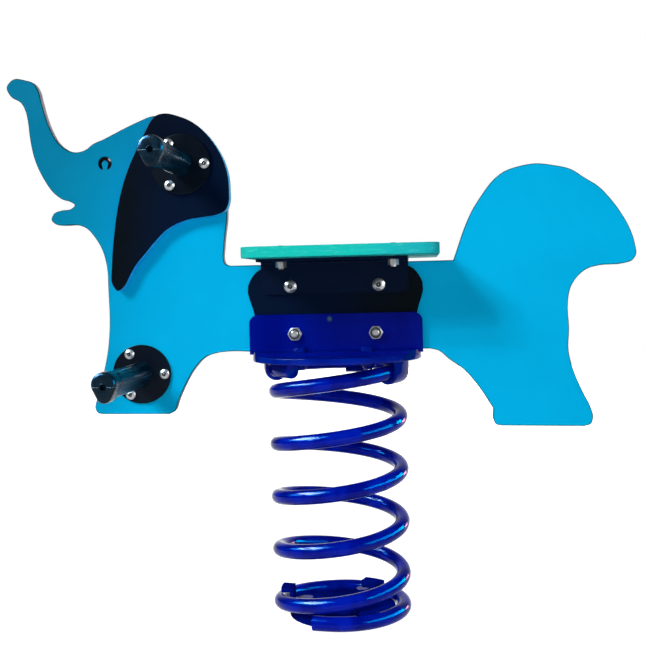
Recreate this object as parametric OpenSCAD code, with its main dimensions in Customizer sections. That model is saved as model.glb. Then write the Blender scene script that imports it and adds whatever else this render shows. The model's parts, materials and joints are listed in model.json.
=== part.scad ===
// Spring rider: an elephant cut from flat board, on a coil spring.
// Millimetres. The origin is on the spring's axis at ground level, +Z is up,
// the head points to -X, and the near side is -Y.

/* [Spring] */
// Diameter of the spring's wire
wire_d = 20; // [16:0.5:24]
// Diameter of the coil, measured at the middle of the wire
coil_d = 170; // [150:1:190]
// Height from the ground to the underside of the top plate
spring_h = 352; // [300:1:420]
// Open turns between the two closed ends
open_turns = 4.575; // [3.6:0.005:5]
// Gap between the wire's lower end and the turn over it
bottom_end_gap = 1.5; // [1:0.5:12]
// Gap between the wire's upper end and the turn under it
top_end_gap = 3; // [1:0.5:12]
// Arc over which the bottom turn starts to climb, in degrees
bottom_ease = 90; // [60:1:120]
// Arc over which the climb dies out at the top, in degrees
top_ease = 150; // [100:1:180]
// Compass angle at the middle of the bottom ease, in degrees
climb_start = 140; // [120:1:160]

/* [Ground fixing] */
// Thickness of the ground plate
ground_plate_t = 10; // [8:0.5:12]
// Circle on which the anchor holes lie
anchor_pcd = 100; // [90:1:110]
// Diameter of an anchor hole
anchor_hole_d = 13; // [11:0.5:14]
// Thickness of a hold-down clamp
ground_clamp_t = 5; // [4:0.5:6]
// Arc that a hold-down clamp covers, in degrees
ground_clamp_arc = 22; // [16:1:26]
// Length of a clamp's foot, in from the plate's rim
ground_clamp_l = 37; // [34:0.5:40]
// Distance of a clamp's bolt from the plate's rim
ground_clamp_bolt_in = 23; // [19:0.5:25]
// Room left under the end of a clamp's bolt
ground_clamp_bolt_short = 1; // [0.5:0.5:3]
// Compass angle of the first clamp
ground_clamp_angle = 60; // [48:1:70]

/* [Top plate] */
// Diameter of the round plate on top of the spring
top_plate_d = 230; // [225:1:260]
// Thickness of the round plate
top_plate_t = 8; // [6:0.5:12]
// Thickness of a spring hook
hook_t = 5; // [4:0.5:6]
// Arc that a spring hook covers, in degrees
hook_arc = 20; // [14:1:24]
// How far a hook wraps round below the wire, in degrees
hook_wrap = 125; // [100:5:140]
// Compass angle of the hook on the tail side
hook_right_angle = 335; // [325:1:345]
// Compass angle of the hook on the far side
hook_rear_angle = 76; // [60:1:90]
// Compass angle of the hook on the head side
hook_left_angle = 190; // [180:1:200]

/* [Spring brackets] */
// Width of a spring bracket along the panel
spring_bracket_w = 236; // [220:1:250]
// Height of the upright leg
spring_bracket_h = 54.5; // [48:0.5:57]
// Depth of the leg that lies on the plate
spring_bracket_out = 48; // [44:1:56]
// Thickness of the bracket's steel
spring_bracket_t = 5; // [4:0.5:6]
// Corner radius of the upright leg
spring_bracket_corner = 12; // [6:1:18]
// Distance between the bolts through the panel
lower_bolt_span = 110; // [90:1:140]
// Height of those bolts over the plate
lower_bolt_z = 28; // [24:0.5:32]
// Distance of the bolts into the plate from the panel's middle
plate_bolt_y = 42; // [40:0.5:44]
// Gap between the nuts of these bolts and the coil
plate_nut_gap = 3.5; // [2:0.5:6]

/* [Body panel] */
// Length of the elephant, from trunk to tail
panel_l = 855; // [820:1:900]
// Height of the elephant, from hind foot to trunk
panel_h = 494; // [482:1:504]
// Thickness of the body board
panel_t = 13; // [12:0.5:19]
// Thickness of an ear board
ear_t = 16; // [12:0.5:19]
// How far the ear on the far side sits nearer to the trunk
far_ear_shift = 6; // [0:0.5:8]
// Thickness of a reinforcing plate
reinforce_t = 6; // [4:0.5:8]
// Outer radius of the eye slot
eye_r = 9.5; // [8:0.5:12]
// Width of the eye slot at its top
eye_slot = 5.5; // [4:0.5:6]
// Width of the bridge that is left below the eye
eye_bridge = 7; // [5:0.5:9]
// Depth of the eye slot, cut from both faces into the board's dark core
eye_depth = 4; // [2:0.5:5.5]

/* [Seat] */
// Length of the seat along the panel
seat_l = 250; // [230:1:280]
// Width of the seat across the panel
seat_w = 280; // [240:1:320]
// Thickness of the seat board
seat_t = 14; // [12:0.5:19]
// Corner radius of the seat
seat_corner = 20; // [10:1:60]
// Middle of the seat, along the panel
seat_x = 16; // [0:1:24]
// Height of the seat's underside over the top plate
seat_z = 130; // [128:0.5:140]
// Width of a seat bracket
seat_bracket_w = 200; // [190:1:220]
// Height of its upright leg
seat_bracket_h = 48; // [46:0.5:54]
// Depth of the leg under the seat
seat_bracket_out = 47; // [44:1:60]
// Thickness of its steel
seat_bracket_t = 4; // [3:0.5:5]
// Corner radius of its upright leg
seat_bracket_corner = 8; // [4:1:12]
// Distance between its bolts through the panel
upper_bolt_span = 120; // [100:1:140]
// Distance of those bolts below the seat
upper_bolt_drop = 37.5; // [34:0.5:38]
// Distance between the seat bolts along the panel
seat_bolt_span = 150; // [130:1:160]
// Middle of the seat bolts, along the panel
seat_bolt_x = 6; // [0:1:10]
// Distance of the seat bolts from the panel's middle
seat_bolt_y = 40; // [38:0.5:44]

/* [Grips] */
// Diameter of a grip's flange
flange_d = 82; // [80:1:90]
// Thickness of the flange
flange_t = 4; // [3:0.5:6]
// Circle on which the flange bolts lie
flange_pcd = 65; // [64:0.5:66]
// Diameter of the tube that carries the grip
stub_d = 20; // [18:0.5:22]
// Wall of that tube
stub_wall = 2.5; // [2:0.5:4]
// Reach of the grips from the panel's middle
grip_reach = 190; // [170:1:210]
// Width of the grip's body
grip_w = 27; // [26:0.5:28]
// Height of the grip's body
grip_h = 34; // [33:0.5:40]
// Width of the grip's narrow underside
grip_belly_w = 16; // [12:0.5:20]
// How far the middle of the grip's round back lies over its tube
grip_rise = 2.7; // [1:0.1:4]
// How far the end cap stands out round the body
grip_cap_lip = 2.5; // [1.5:0.25:3]
// Length of the end cap
grip_cap_l = 28; // [20:1:36]
// How far the collar at the flange stands out
grip_collar_lip = 1.5; // [1:0.25:3]
// Length of the collar
grip_collar_l = 9; // [6:1:14]
// Thickness of the grip's closed end
grip_end_t = 6; // [4:0.5:8]
// Diameter of the vent hole in the end
grip_vent_d = 7.5; // [5:0.5:9]
// Hand grip, along the panel
hand_x = -204.5; // [-210:0.5:-199]
// Hand grip, over the top plate
hand_z = 262; // [256:0.5:268]
// Foot rest, along the panel
foot_x = -272; // [-275:0.5:-269]
// Foot rest, over the top plate
foot_z = -24.5; // [-28:0.5:-22]

/* [Fasteners and clearances] */
// Diameter of the bolts in the spring brackets, seat brackets and clamps
bolt_d = 10; // [8:1:10]
// Width across flats of their nuts and heads
bolt_af = 17; // [16:0.5:18]
// Diameter of their button heads
bolt_button_d = 17.5; // [17:0.5:19]
// Height of their heads
bolt_head_h = 5.5; // [5:0.5:7]
// Height of their lock nuts
bolt_nut_h = 9.5; // [8:0.5:10]
// Diameter of the bolts in the seat and the grip flanges
screw_d = 8; // [6:1:8]
// Width across flats of their nuts
screw_af = 13; // [12:0.5:14]
// Diameter of their button heads
screw_button_d = 14; // [13:0.5:14.5]
// Height of their heads
screw_head_h = 4.4; // [4:0.2:5]
// Height of their lock nuts
screw_nut_h = 8; // [7:0.5:9]
// Bolt that shows beyond its nut
bolt_tail = 2; // [1:0.5:4]
// Radial clearance round a bolt in its hole
hole_clear = 0.5; // [0.3:0.1:0.8]
// Radial clearance in a nut's thread
thread_clear = 0.1; // [0.05:0.05:0.2]
// Gap between the spring's wire and what holds it
wire_clear = 0.5; // [0.3:0.1:1]
// Gap between the ground plate and the wire round it
ground_gap = 2; // [1:0.5:4]
// Gap between the grip and its tube
grip_clear = 0.2; // [0.1:0.05:0.4]
// Inside radius of a bent bracket
bend_r = 3; // [2:0.5:5]

/* [Hidden] */
$fn = 48;
full_turn = 360;

// Shares of a fastener's own sizes
button_rim_share = 0.25;
socket_share = 0.7;
hexagon_corner_share = 0.28;
nut_hexagon_share = 0.72;
nut_collar_share = 0.88;
// Share of the eye slot's width that its lower ends lose
eye_taper = 0.15;
// Anchor holes, each between two hold-down clamps
anchors = 3;
// Bolts in a grip's flange
flange_bolt_count = 3;
// How far a cutting shape runs past what it cuts
cut_past = 1;
// Steps on the grip's round back and on its belly
back_steps = 28;
belly_steps = 14;

wire_r = wire_d / 2;
coil_r = coil_d / 2;
ground_plate_r = coil_r - wire_r - ground_gap;
ground_clamp_bolt_r = ground_plate_r - ground_clamp_bolt_in;
plate_bolt_r = coil_r - wire_r - plate_nut_gap - bolt_af / 2 / cos(30);
plate_bolt_x = sqrt(plate_bolt_r ^ 2 - plate_bolt_y ^ 2);
bolt_hole_r = bolt_d / 2 + hole_clear;
screw_hole_r = screw_d / 2 + hole_clear;

// Heights
plate_top = spring_h + top_plate_t;
lower_z = plate_top + lower_bolt_z;
seat_under = plate_top + seat_z;
upper_z = seat_under - upper_bolt_drop;

// Distances from the panel's middle plane to each face of the stack
panel_face = panel_t / 2;
reinforce_face = panel_face + reinforce_t;
seat_bracket_face = reinforce_face + seat_bracket_t;
spring_bracket_face = reinforce_face + spring_bracket_t;
ear_face = panel_face + ear_t;

// Spring: the wire's height as a function of its compass angle
wire_low = wire_r + wire_clear;
wire_high = spring_h - wire_clear - wire_r;
climb = (wire_high - wire_low) / (open_turns * full_turn);
ease_in = climb_start - bottom_ease / 2;
climb_from = climb_start + bottom_ease / 2;
climb_end = climb_start + open_turns * full_turn;
climb_to = climb_end - top_ease / 2;
ease_out = climb_end + top_ease / 2;
// each end stops, with its straight length, where the next turn has cleared it
straight_end = wire_d / coil_r * 180 / PI;
wire_from = climb_start + (wire_d + bottom_end_gap) / climb - full_turn + straight_end;
wire_to = climb_end - (wire_d + top_end_gap) / climb + full_turn - straight_end;
function wire_z(a) =
    a <= ease_in ? wire_low
    : a <= climb_from ? wire_low + climb * (a - ease_in) ^ 2 / (2 * bottom_ease)
    : a <= climb_to ? wire_low + climb * (a - climb_start)
    : a <= ease_out ? wire_high - climb * (ease_out - a) ^ 2 / (2 * top_ease)
    : wire_high;
function wire_point(a) = [coil_r * cos(a), coil_r * sin(a), wire_z(a)];
// Rise of the wire along its own run at one angle, in millimetres per millimetre
function wire_slope(a) = (wire_z(a + 1) - wire_z(a - 1)) / (coil_r * 2 * PI / 180);

// The tube's rings: 24 to a turn, of 6 sides, and one straight length at each end
rings_per_turn = 24;
ring_sides = 6;
ring_steps = ceil((wire_to - wire_from) / full_turn * rings_per_turn);
function ring_angle(i) = wire_from + (wire_to - wire_from) * i / ring_steps;
function wire_run(a) = let (v = wire_point(a + 0.5) - wire_point(a - 0.5)) v / norm(v);
wire_middles = [
    wire_point(wire_from) - wire_d * wire_run(wire_from),
    for (i = [0 : ring_steps]) wire_point(ring_angle(i)),
    wire_point(wire_to) + wire_d * wire_run(wire_to)];
function ring_at(i) =
    let (
        a = ring_angle(min(max(i - 1, 0), ring_steps)),
        out = [cos(a), sin(a), 0],
        up = cross(out, wire_run(a)))
    [for (k = [0 : ring_sides - 1])
        let (turn = 90 + k * full_turn / ring_sides)
        wire_middles[i] + wire_r * (cos(turn) * out + sin(turn) * up)];
ring_count = ring_steps + 3;
wire_corners = [for (i = [0 : ring_count - 1]) each ring_at(i)];
wire_faces = [
    for (k = [1 : ring_sides - 2]) [0, k, k + 1],
    for (i = [0 : ring_count - 2])
        for (k = [0 : ring_sides - 1])
            let (
                n = (k + 1) % ring_sides,
                a = i * ring_sides + k,
                b = i * ring_sides + n,
                c = a + ring_sides,
                d = b + ring_sides)
            each [[a, c, b], [b, c, d]],
    let (last = (ring_count - 1) * ring_sides)
        for (k = [1 : ring_sides - 2]) [last, last + k + 1, last + k]];
turn_gap = min([
    for (i = [0 : ring_count - 1])
        for (j = [i + rings_per_turn / 2 : 1 : ring_count - 1])
            norm(wire_middles[i] - wire_middles[j])]) - wire_d;
echo("Least gap between the spring's turns, mm", turn_gap);

// Smooth closed outline through points [x, z, smooth]; smooth 0 marks a corner
curve_steps = 4;
function flat(p) = [p[0], p[1]];
function bend_at(a, b, c) =
    let (back = norm(b - a), ahead = norm(c - b))
    ((b - a) * ahead / back + (c - b) * back / ahead) / (back + ahead);
function curve_between(p, dp, q, dq, t) =
    (2 * t ^ 3 - 3 * t ^ 2 + 1) * p + (t ^ 3 - 2 * t ^ 2 + t) * dp
    + (3 * t ^ 2 - 2 * t ^ 3) * q + (t ^ 3 - t ^ 2) * dq;
function outline(pts) =
    let (n = len(pts))
    [for (i = [0 : n - 1])
        let (
            a = flat(pts[(i + n - 1) % n]),
            p = flat(pts[i]),
            q = flat(pts[(i + 1) % n]),
            b = flat(pts[(i + 2) % n]),
            run = norm(q - p),
            from_corner = pts[i][2] == 0,
            to_corner = pts[(i + 1) % n][2] == 0,
            dp = from_corner ? q - p : run * bend_at(a, p, q),
            dq = to_corner ? q - p : run * bend_at(p, q, b),
            steps = from_corner && to_corner ? 1 : curve_steps)
        for (s = [0 : steps - 1]) curve_between(p, dp, q, dq, s / steps)];

// Elephant, as [along the panel, height over the top plate, smooth]
panel_points = [
    // trunk tip and front of the trunk
    [-443, 390, 1], [-453, 379, 1], [-447, 366, 1], [-433, 357, 1], [-427, 345, 1],
    [-424, 330, 1], [-422, 308, 1], [-415, 274, 1], [-404, 250, 1], [-391, 231, 1],
    [-378, 221, 1],
    // mouth and lower lip
    [-366, 217, 1], [-361, 213, 1], [-366, 208, 1], [-380, 206, 1], [-391, 202, 1],
    [-395, 193, 1], [-389, 187, 1], [-375, 185, 1], [-358, 185, 1],
    // throat and chest
    [-345, 180, 1], [-335, 169, 1], [-324, 150, 1], [-318, 126, 1], [-317, 95, 1],
    [-317, 40, 1], [-320, 12, 1], [-327, -20, 1],
    // front foot
    [-339, -60, 1], [-341, -72, 1], [-338, -78, 1], [-329, -80, 0], [-236, -81, 0],
    [-229, -78, 1],
    // back of the front leg and belly
    [-221, -60, 1], [-209, -36, 1], [-197, -17, 1], [-183, -3, 1], [-166, 3, 1],
    [-145, 5, 1], [-118, 4, 0], [128, 4, 0],
    // front of the hind leg and hind foot
    [139, 1, 1], [152, -10, 1], [172, -25, 1], [190, -46, 1], [211, -79, 0],
    [211, -94, 1], [214, -100, 1], [221, -102, 0], [331, -104, 0], [340, -101, 1],
    [343, -91, 1], [340, -79, 1],
    // back of the hind leg and tail
    [330, -58, 1], [316, -22, 1], [312, -3, 1], [313, 28, 1], [312, 64, 1], [316, 83, 1],
    [326, 98, 1], [338, 107, 1], [353, 111, 1], [385, 113, 1], [397, 117, 1],
    [402, 125, 1], [401, 136, 1],
    // rump
    [395, 157, 1], [383, 180, 1], [368, 201, 1], [354, 216, 1], [336, 228, 1],
    [318, 240, 1], [295, 246, 1], [272, 249, 1], [250, 246, 1], [231, 240, 1],
    [217, 230, 1], [200, 209, 1], [186, 187, 1], [176, 165, 1], [168, 143, 1],
    [161, 123, 0],
    // back and neck
    [-145, 123, 0], [-151, 126, 1], [-153, 133, 1], [-152, 147, 1], [-150, 165, 1],
    [-147, 185, 1], [-146, 202, 1], [-147, 226, 1], [-152, 252, 1], [-162, 279, 1],
    // head
    [-179, 303, 1], [-200, 320, 1], [-222, 329, 1], [-238, 332, 1], [-250, 331, 1],
    [-264, 326, 1], [-290, 315, 1], [-318, 302, 1], [-333, 296, 1],
    // brow and back of the trunk
    [-341, 290, 1], [-348, 287, 1], [-359, 286, 1], [-370, 290, 1], [-382, 300, 1],
    [-391, 316, 1], [-399, 338, 1], [-404, 358, 1], [-408, 374, 1], [-415, 384, 1],
    [-426, 388, 1]];
ear_points = [
    [-237, 330, 1], [-225, 332, 1], [-208, 328, 1], [-188, 319, 1], [-170, 303, 1],
    [-156, 284, 1], [-146, 264, 1], [-141, 244, 1], [-140, 225, 1], [-141, 208, 1],
    [-146, 198, 1], [-157, 193, 1], [-176, 190, 1], [-198, 187, 1], [-213, 182, 1],
    [-228, 174, 1], [-243, 160, 1], [-260, 141, 1], [-273, 126, 1], [-282, 111, 1],
    [-288, 100, 1], [-299, 92, 1], [-306, 101, 1], [-306, 125, 1], [-302, 165, 1],
    [-296, 202, 1], [-287, 237, 1], [-277, 263, 1], [-265, 287, 1], [-252, 311, 1],
    [-245, 323, 1]];
eye_at = [-316, 269, 1];
// Spread of the points along one axis, and the outlines stretched to the elephant's own size
function spread(axis) = max([for (p = panel_points) p[axis]]) - min([for (p = panel_points) p[axis]]);
function sized(p) = [p[0] * panel_l / spread(0), p[1] * panel_h / spread(1), p[2]];
function sized_outline(pts) = outline([for (p = pts) sized(p)]);
// Half of a reinforcing plate, from its top down to its foot
reinforce_half = [[88, 121, 0], [107, 113, 1], [119, 94, 1], [111, 55, 1], [106, 18, 0], [98, 10, 0]];
reinforce_points = concat(
    reinforce_half,
    [for (i = [len(reinforce_half) - 1 : -1 : 0])
        [-reinforce_half[i][0], reinforce_half[i][1], reinforce_half[i][2]]]);

// Flat board parallel to the panel, from one distance to another on the near side
module board(from, to) {
    translate([0, -from, 0]) rotate([90, 0, 0]) linear_extrude(to - from) children();
}

module far_side() {
    mirror([0, 1, 0]) children();
}

module rounded_rectangle(w, h, r) {
    square([w - 2 * r, h], center = true);
    square([w, h - 2 * r], center = true);
    for (x = [-1, 1], y = [-1, 1])
        translate([x * (w / 2 - r), y * (h / 2 - r)]) circle(r);
}

// Stands what is drawn upright so that its top points to the near side
module facing_near(x, y, z) {
    translate([x, y, z]) rotate([90, 0, 0]) children();
}

module facing_far(x, y, z) {
    translate([x, y, z]) rotate([-90, 0, 0]) children();
}

module pair_along(span, middle = 0) {
    for (side = [-1, 1]) translate([middle + side * span / 2, 0, 0]) children();
}

// Domed head on its seat at z 0, with a hex socket and the shank below
module button_bolt(d, head_d, head_h, shank) {
    dome = head_h * (1 - button_rim_share);
    dome_r = ((head_d / 2) ^ 2 + dome ^ 2) / (2 * dome);
    difference() {
        intersection() {
            cylinder(d = head_d, h = head_h);
            translate([0, 0, head_h - dome_r]) sphere(dome_r);
        }
        translate([0, 0, head_h / 2]) cylinder(d = d * socket_share, h = head_h, $fn = 6);
    }
    translate([0, 0, -shank]) cylinder(d = d, h = shank);
}

// Hexagon with its outer corners turned off
module hexagon_block(af, h) {
    corner = af / cos(30);
    intersection() {
        cylinder(d = corner, h = h, $fn = 6);
        cylinder(d1 = corner + h, d2 = corner - h * hexagon_corner_share, h = h);
    }
}

module hex_bolt(d, af, head_h, shank) {
    hexagon_block(af, head_h);
    translate([0, 0, -shank]) cylinder(d = d, h = shank);
}

// Lock nut on its seat at z 0, with the round collar of its insert
module lock_nut(d, af, h) {
    difference() {
        union() {
            hexagon_block(af, h * nut_hexagon_share);
            cylinder(d = af * nut_collar_share, h = h);
        }
        translate([0, 0, -cut_past]) cylinder(r = d / 2 + thread_clear, h = h + 2 * cut_past);
    }
}

// Bent angle: an upright leg against the plane y 0 and a leg at its foot that runs to the near side
module angle_bar(w, up, out, t) {
    heel = bend_r + t;
    rotate([90, 0, 90]) linear_extrude(w, center = true) {
        translate([-t, heel]) square([t, up - heel]);
        translate([-out, 0]) square([out - heel, t]);
        translate([-heel, heel]) difference() {
            circle(heel);
            circle(bend_r);
            translate([-heel, 0]) square(2 * heel);
            translate([-2 * heel, -heel]) square(2 * heel);
        }
    }
}

// Profile in the plane of radius and height, swept over an arc round the spring's axis
module arc_piece(angle, arc) {
    rotate([0, 0, angle - arc / 2]) rotate_extrude(angle = arc) children();
}

module ground_plate() {
    color("#0a14a0") difference() {
        cylinder(r = ground_plate_r, h = ground_plate_t, $fn = 96);
        for (i = [0 : anchors - 1]) {
            rotate(ground_clamp_angle + (i + 0.5) * full_turn / anchors)
                translate([anchor_pcd / 2, 0, -cut_past])
                    cylinder(d = anchor_hole_d, h = ground_plate_t + 2 * cut_past);
            rotate(ground_clamp_angle + i * full_turn / anchors)
                translate([ground_clamp_bolt_r, 0, -cut_past])
                    cylinder(r = bolt_d / 2 + thread_clear, h = ground_plate_t + 2 * cut_past);
        }
    }
}

module ground_clamp(i) {
    angle = ground_clamp_angle + i * full_turn / anchors;
    // the wire's own angle: the bottom turn runs below the climb
    wire_at = angle > climb_start + full_turn / 4 ? angle - full_turn : angle;
    rise = abs(wire_slope(wire_at)) * coil_r * ground_clamp_arc / 2 * PI / 180;
    lip_z = wire_z(wire_at) + wire_r + wire_clear + rise;
    inner = ground_plate_r - ground_clamp_l;
    color("#0a14a0") difference() {
        arc_piece(angle, ground_clamp_arc) polygon([
            [inner, ground_plate_t],
            [ground_plate_r, ground_plate_t],
            [ground_plate_r, lip_z],
            [coil_r, lip_z],
            [coil_r, lip_z + ground_clamp_t],
            [ground_plate_r - ground_clamp_t, lip_z + ground_clamp_t],
            [ground_plate_r - ground_clamp_t, ground_plate_t + ground_clamp_t],
            [inner, ground_plate_t + ground_clamp_t]]);
        rotate(angle) translate([ground_clamp_bolt_r, 0, 0])
            cylinder(r = bolt_hole_r, h = ground_plate_t + 2 * ground_clamp_t);
    }
}

module ground_clamp_right() {
    ground_clamp(0);
}

module ground_clamp_left() {
    ground_clamp(1);
}

module ground_clamp_front() {
    ground_clamp(2);
}

module ground_clamp_bolts() {
    color("#0a14a0") for (i = [0 : anchors - 1])
        rotate(ground_clamp_angle + i * full_turn / anchors)
            translate([ground_clamp_bolt_r, 0, ground_plate_t + ground_clamp_t])
                hex_bolt(bolt_d, bolt_af, bolt_head_h,
                    ground_clamp_t + ground_plate_t - ground_clamp_bolt_short);
}

module coil_spring() {
    color("#0a14a0") polyhedron(wire_corners, wire_faces);
}

module plate_bolt_places() {
    for (side = [-1, 1])
        translate([0, side * plate_bolt_y, 0]) pair_along(2 * plate_bolt_x) children();
}

module top_plate() {
    color("#0a14a0") difference() {
        translate([0, 0, spring_h]) cylinder(d = top_plate_d, h = top_plate_t, $fn = 96);
        plate_bolt_places() translate([0, 0, spring_h - cut_past])
            cylinder(r = bolt_hole_r, h = top_plate_t + 2 * cut_past);
    }
}

// Strap from the top plate down outside the coil and round below the wire
module spring_hook(angle) {
    // the hook at the head side holds the closed turn, past the end of the climb
    turns_up = floor((wire_to - angle) / full_turn);
    wire_at = angle + full_turn * turns_up;
    rise = abs(wire_slope(wire_at)) * coil_r * hook_arc / 2 * PI / 180;
    inner = wire_r + wire_clear + rise;
    middle = wire_z(wire_at);
    outer = inner + hook_t;
    color("#0a14a0") arc_piece(angle, hook_arc) {
        translate([coil_r + inner, middle]) square([hook_t, spring_h - middle]);
        translate([coil_r, middle]) difference() {
            circle(outer);
            circle(inner);
            translate([-2 * outer, 0]) square(4 * outer);
            rotate(-hook_wrap) translate([-4 * outer, -4 * outer]) square([8 * outer, 4 * outer]);
        }
    }
}

module spring_hook_right() {
    spring_hook(hook_right_angle);
}

module spring_hook_rear() {
    spring_hook(hook_rear_angle);
}

module spring_hook_left() {
    spring_hook(hook_left_angle);
}

module spring_bracket_near() {
    color("#0a14a0") difference() {
        translate([0, -reinforce_face, plate_top]) intersection() {
            angle_bar(spring_bracket_w, spring_bracket_h, spring_bracket_out, spring_bracket_t);
            // rounded upper corners
            board(0, spring_bracket_out)
                rounded_rectangle(spring_bracket_w, 2 * spring_bracket_h, spring_bracket_corner);
            // the lower leg ends with the round plate
            union() {
                translate([0, reinforce_face, 0])
                    cylinder(d = top_plate_d, h = spring_bracket_h, $fn = 96);
                translate([0, 0, spring_bracket_h / 2])
                    cube([spring_bracket_w, 2 * spring_bracket_t, spring_bracket_h], center = true);
            }
        }
        pair_along(lower_bolt_span) facing_near(0, 0, lower_z)
            cylinder(r = bolt_hole_r, h = spring_bracket_face + cut_past);
        plate_bolt_places() translate([0, 0, plate_top - cut_past])
            cylinder(r = bolt_hole_r, h = spring_bracket_t + 2 * cut_past);
    }
}

module spring_bracket_far() {
    far_side() spring_bracket_near();
}

module bracket_plate_bolts() {
    color("#0a14a0") plate_bolt_places() translate([0, 0, plate_top + spring_bracket_t])
        hex_bolt(bolt_d, bolt_af, bolt_head_h,
            spring_bracket_t + top_plate_t + bolt_nut_h + bolt_tail);
}

module bracket_plate_nuts() {
    color("#0a14a0") plate_bolt_places() translate([0, 0, spring_h]) mirror([0, 0, 1])
        lock_nut(bolt_d, bolt_af, bolt_nut_h);
}

module lower_panel_bolts() {
    color("silver") pair_along(lower_bolt_span) facing_far(0, spring_bracket_face, lower_z)
        hex_bolt(bolt_d, bolt_af, bolt_head_h, 2 * spring_bracket_face + bolt_nut_h + bolt_tail);
}

module lower_panel_nuts() {
    color("silver") pair_along(lower_bolt_span) facing_near(0, -spring_bracket_face, lower_z)
        lock_nut(bolt_d, bolt_af, bolt_nut_h);
}

module flange_bolt_places(x, z) {
    for (i = [0 : flange_bolt_count - 1])
        translate([x, 0, z]) rotate([0, i * full_turn / flange_bolt_count, 0])
            translate([flange_pcd / 2, 0, 0]) children();
}

module flange_holes(x, z, reach) {
    flange_bolt_places(x, z) rotate([90, 0, 0])
        cylinder(r = screw_hole_r, h = 2 * reach, center = true);
}

module panel_bolt_holes(reach) {
    pair_along(lower_bolt_span) facing_near(0, 0, lower_z)
        cylinder(r = bolt_hole_r, h = 2 * reach, center = true);
    pair_along(upper_bolt_span) facing_near(0, 0, upper_z)
        cylinder(r = bolt_hole_r, h = 2 * reach, center = true);
}

module eye_slot_shape() {
    inner = eye_r - eye_slot * (1 - eye_taper);
    translate(flat(sized(eye_at))) difference() {
        circle(eye_r);
        translate([0, -eye_slot * eye_taper]) circle(inner);
        translate([-eye_bridge / 2, -2 * eye_r]) square([eye_bridge, 2 * eye_r]);
    }
}

module body_panel() {
    color("#00a8e0") difference() {
        translate([0, 0, plate_top]) board(-panel_face, panel_face)
            polygon(sized_outline(panel_points));
        translate([0, 0, plate_top]) {
            board(panel_face - eye_depth, panel_face + cut_past) eye_slot_shape();
            board(-panel_face - cut_past, eye_depth - panel_face) eye_slot_shape();
        }
        panel_bolt_holes(panel_t);
        flange_holes(hand_x, plate_top + hand_z, panel_t);
        flange_holes(foot_x, plate_top + foot_z, panel_t);
    }
}

module reinforcing_plate_near() {
    color("#0b0f1c") difference() {
        translate([0, 0, plate_top]) board(panel_face, reinforce_face)
            polygon(outline(reinforce_points));
        panel_bolt_holes(reinforce_face + cut_past);
    }
}

module reinforcing_plate_far() {
    far_side() reinforcing_plate_near();
}

module ear(shift) {
    color("#0b0f1c") difference() {
        translate([-shift, 0, plate_top]) board(panel_face, ear_face)
            polygon(sized_outline(ear_points));
        flange_holes(hand_x, plate_top + hand_z, ear_face + cut_past);
    }
}

module ear_near() {
    ear(0);
}

module ear_far() {
    far_side() ear(far_ear_shift);
}

module seat_bolt_places() {
    for (side = [-1, 1])
        translate([0, side * seat_bolt_y, 0]) pair_along(seat_bolt_span, seat_bolt_x) children();
}

module seat_bracket_near() {
    color("#0b0f1c") difference() {
        translate([0, -reinforce_face, seat_under]) intersection() {
            mirror([0, 0, 1])
                angle_bar(seat_bracket_w, seat_bracket_h, seat_bracket_out, seat_bracket_t);
            // rounded lower corners
            board(0, seat_bracket_out)
                rounded_rectangle(seat_bracket_w, 2 * seat_bracket_h, seat_bracket_corner);
        }
        pair_along(upper_bolt_span) facing_near(0, 0, upper_z)
            cylinder(r = bolt_hole_r, h = seat_bracket_face + cut_past);
        seat_bolt_places() translate([0, 0, seat_under - seat_bracket_t - cut_past])
            cylinder(r = screw_hole_r, h = seat_bracket_t + 2 * cut_past);
    }
}

module seat_bracket_far() {
    far_side() seat_bracket_near();
}

module upper_panel_bolts() {
    color("silver") pair_along(upper_bolt_span) facing_near(0, -seat_bracket_face, upper_z)
        button_bolt(bolt_d, bolt_button_d, bolt_head_h,
            2 * seat_bracket_face + bolt_nut_h + bolt_tail);
}

module upper_panel_nuts() {
    color("silver") pair_along(upper_bolt_span) facing_far(0, seat_bracket_face, upper_z)
        lock_nut(bolt_d, bolt_af, bolt_nut_h);
}

module seat_board() {
    color("#00bfae") difference() {
        translate([seat_x, 0, seat_under]) linear_extrude(seat_t)
            rounded_rectangle(seat_l, seat_w, seat_corner);
        seat_bolt_places() translate([0, 0, seat_under - cut_past])
            cylinder(r = screw_hole_r, h = seat_t + 2 * cut_past);
    }
}

module seat_bolts() {
    color("silver") seat_bolt_places() translate([0, 0, seat_under + seat_t])
        button_bolt(screw_d, screw_button_d, screw_head_h,
            seat_t + seat_bracket_t + screw_nut_h + bolt_tail);
}

module seat_nuts() {
    color("silver") seat_bolt_places() translate([0, 0, seat_under - seat_bracket_t])
        mirror([0, 0, 1]) lock_nut(screw_d, screw_af, screw_nut_h);
}

// Round flange and its tube, standing on the near side at the given distance from the middle
module grip_flange(x, z, face) {
    tube_end = grip_reach - grip_end_t - grip_clear;
    color("#0b0f1c") difference() {
        union() {
            facing_near(x, -face, plate_top + z) cylinder(d = flange_d, h = flange_t, $fn = 96);
            facing_near(x, -face, plate_top + z) cylinder(d = stub_d, h = tube_end - face);
        }
        facing_near(x, -face - flange_t, plate_top + z)
            cylinder(d = stub_d - 2 * stub_wall, h = grip_reach);
        flange_holes(x, plate_top + z, grip_reach);
    }
}

// Points on an arc, from one angle to another
function arc_points(at, r, from, to, steps) =
    [for (i = [0 : steps]) let (a = from + (to - from) * i / steps) at + r * [cos(a), sin(a)]];

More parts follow.
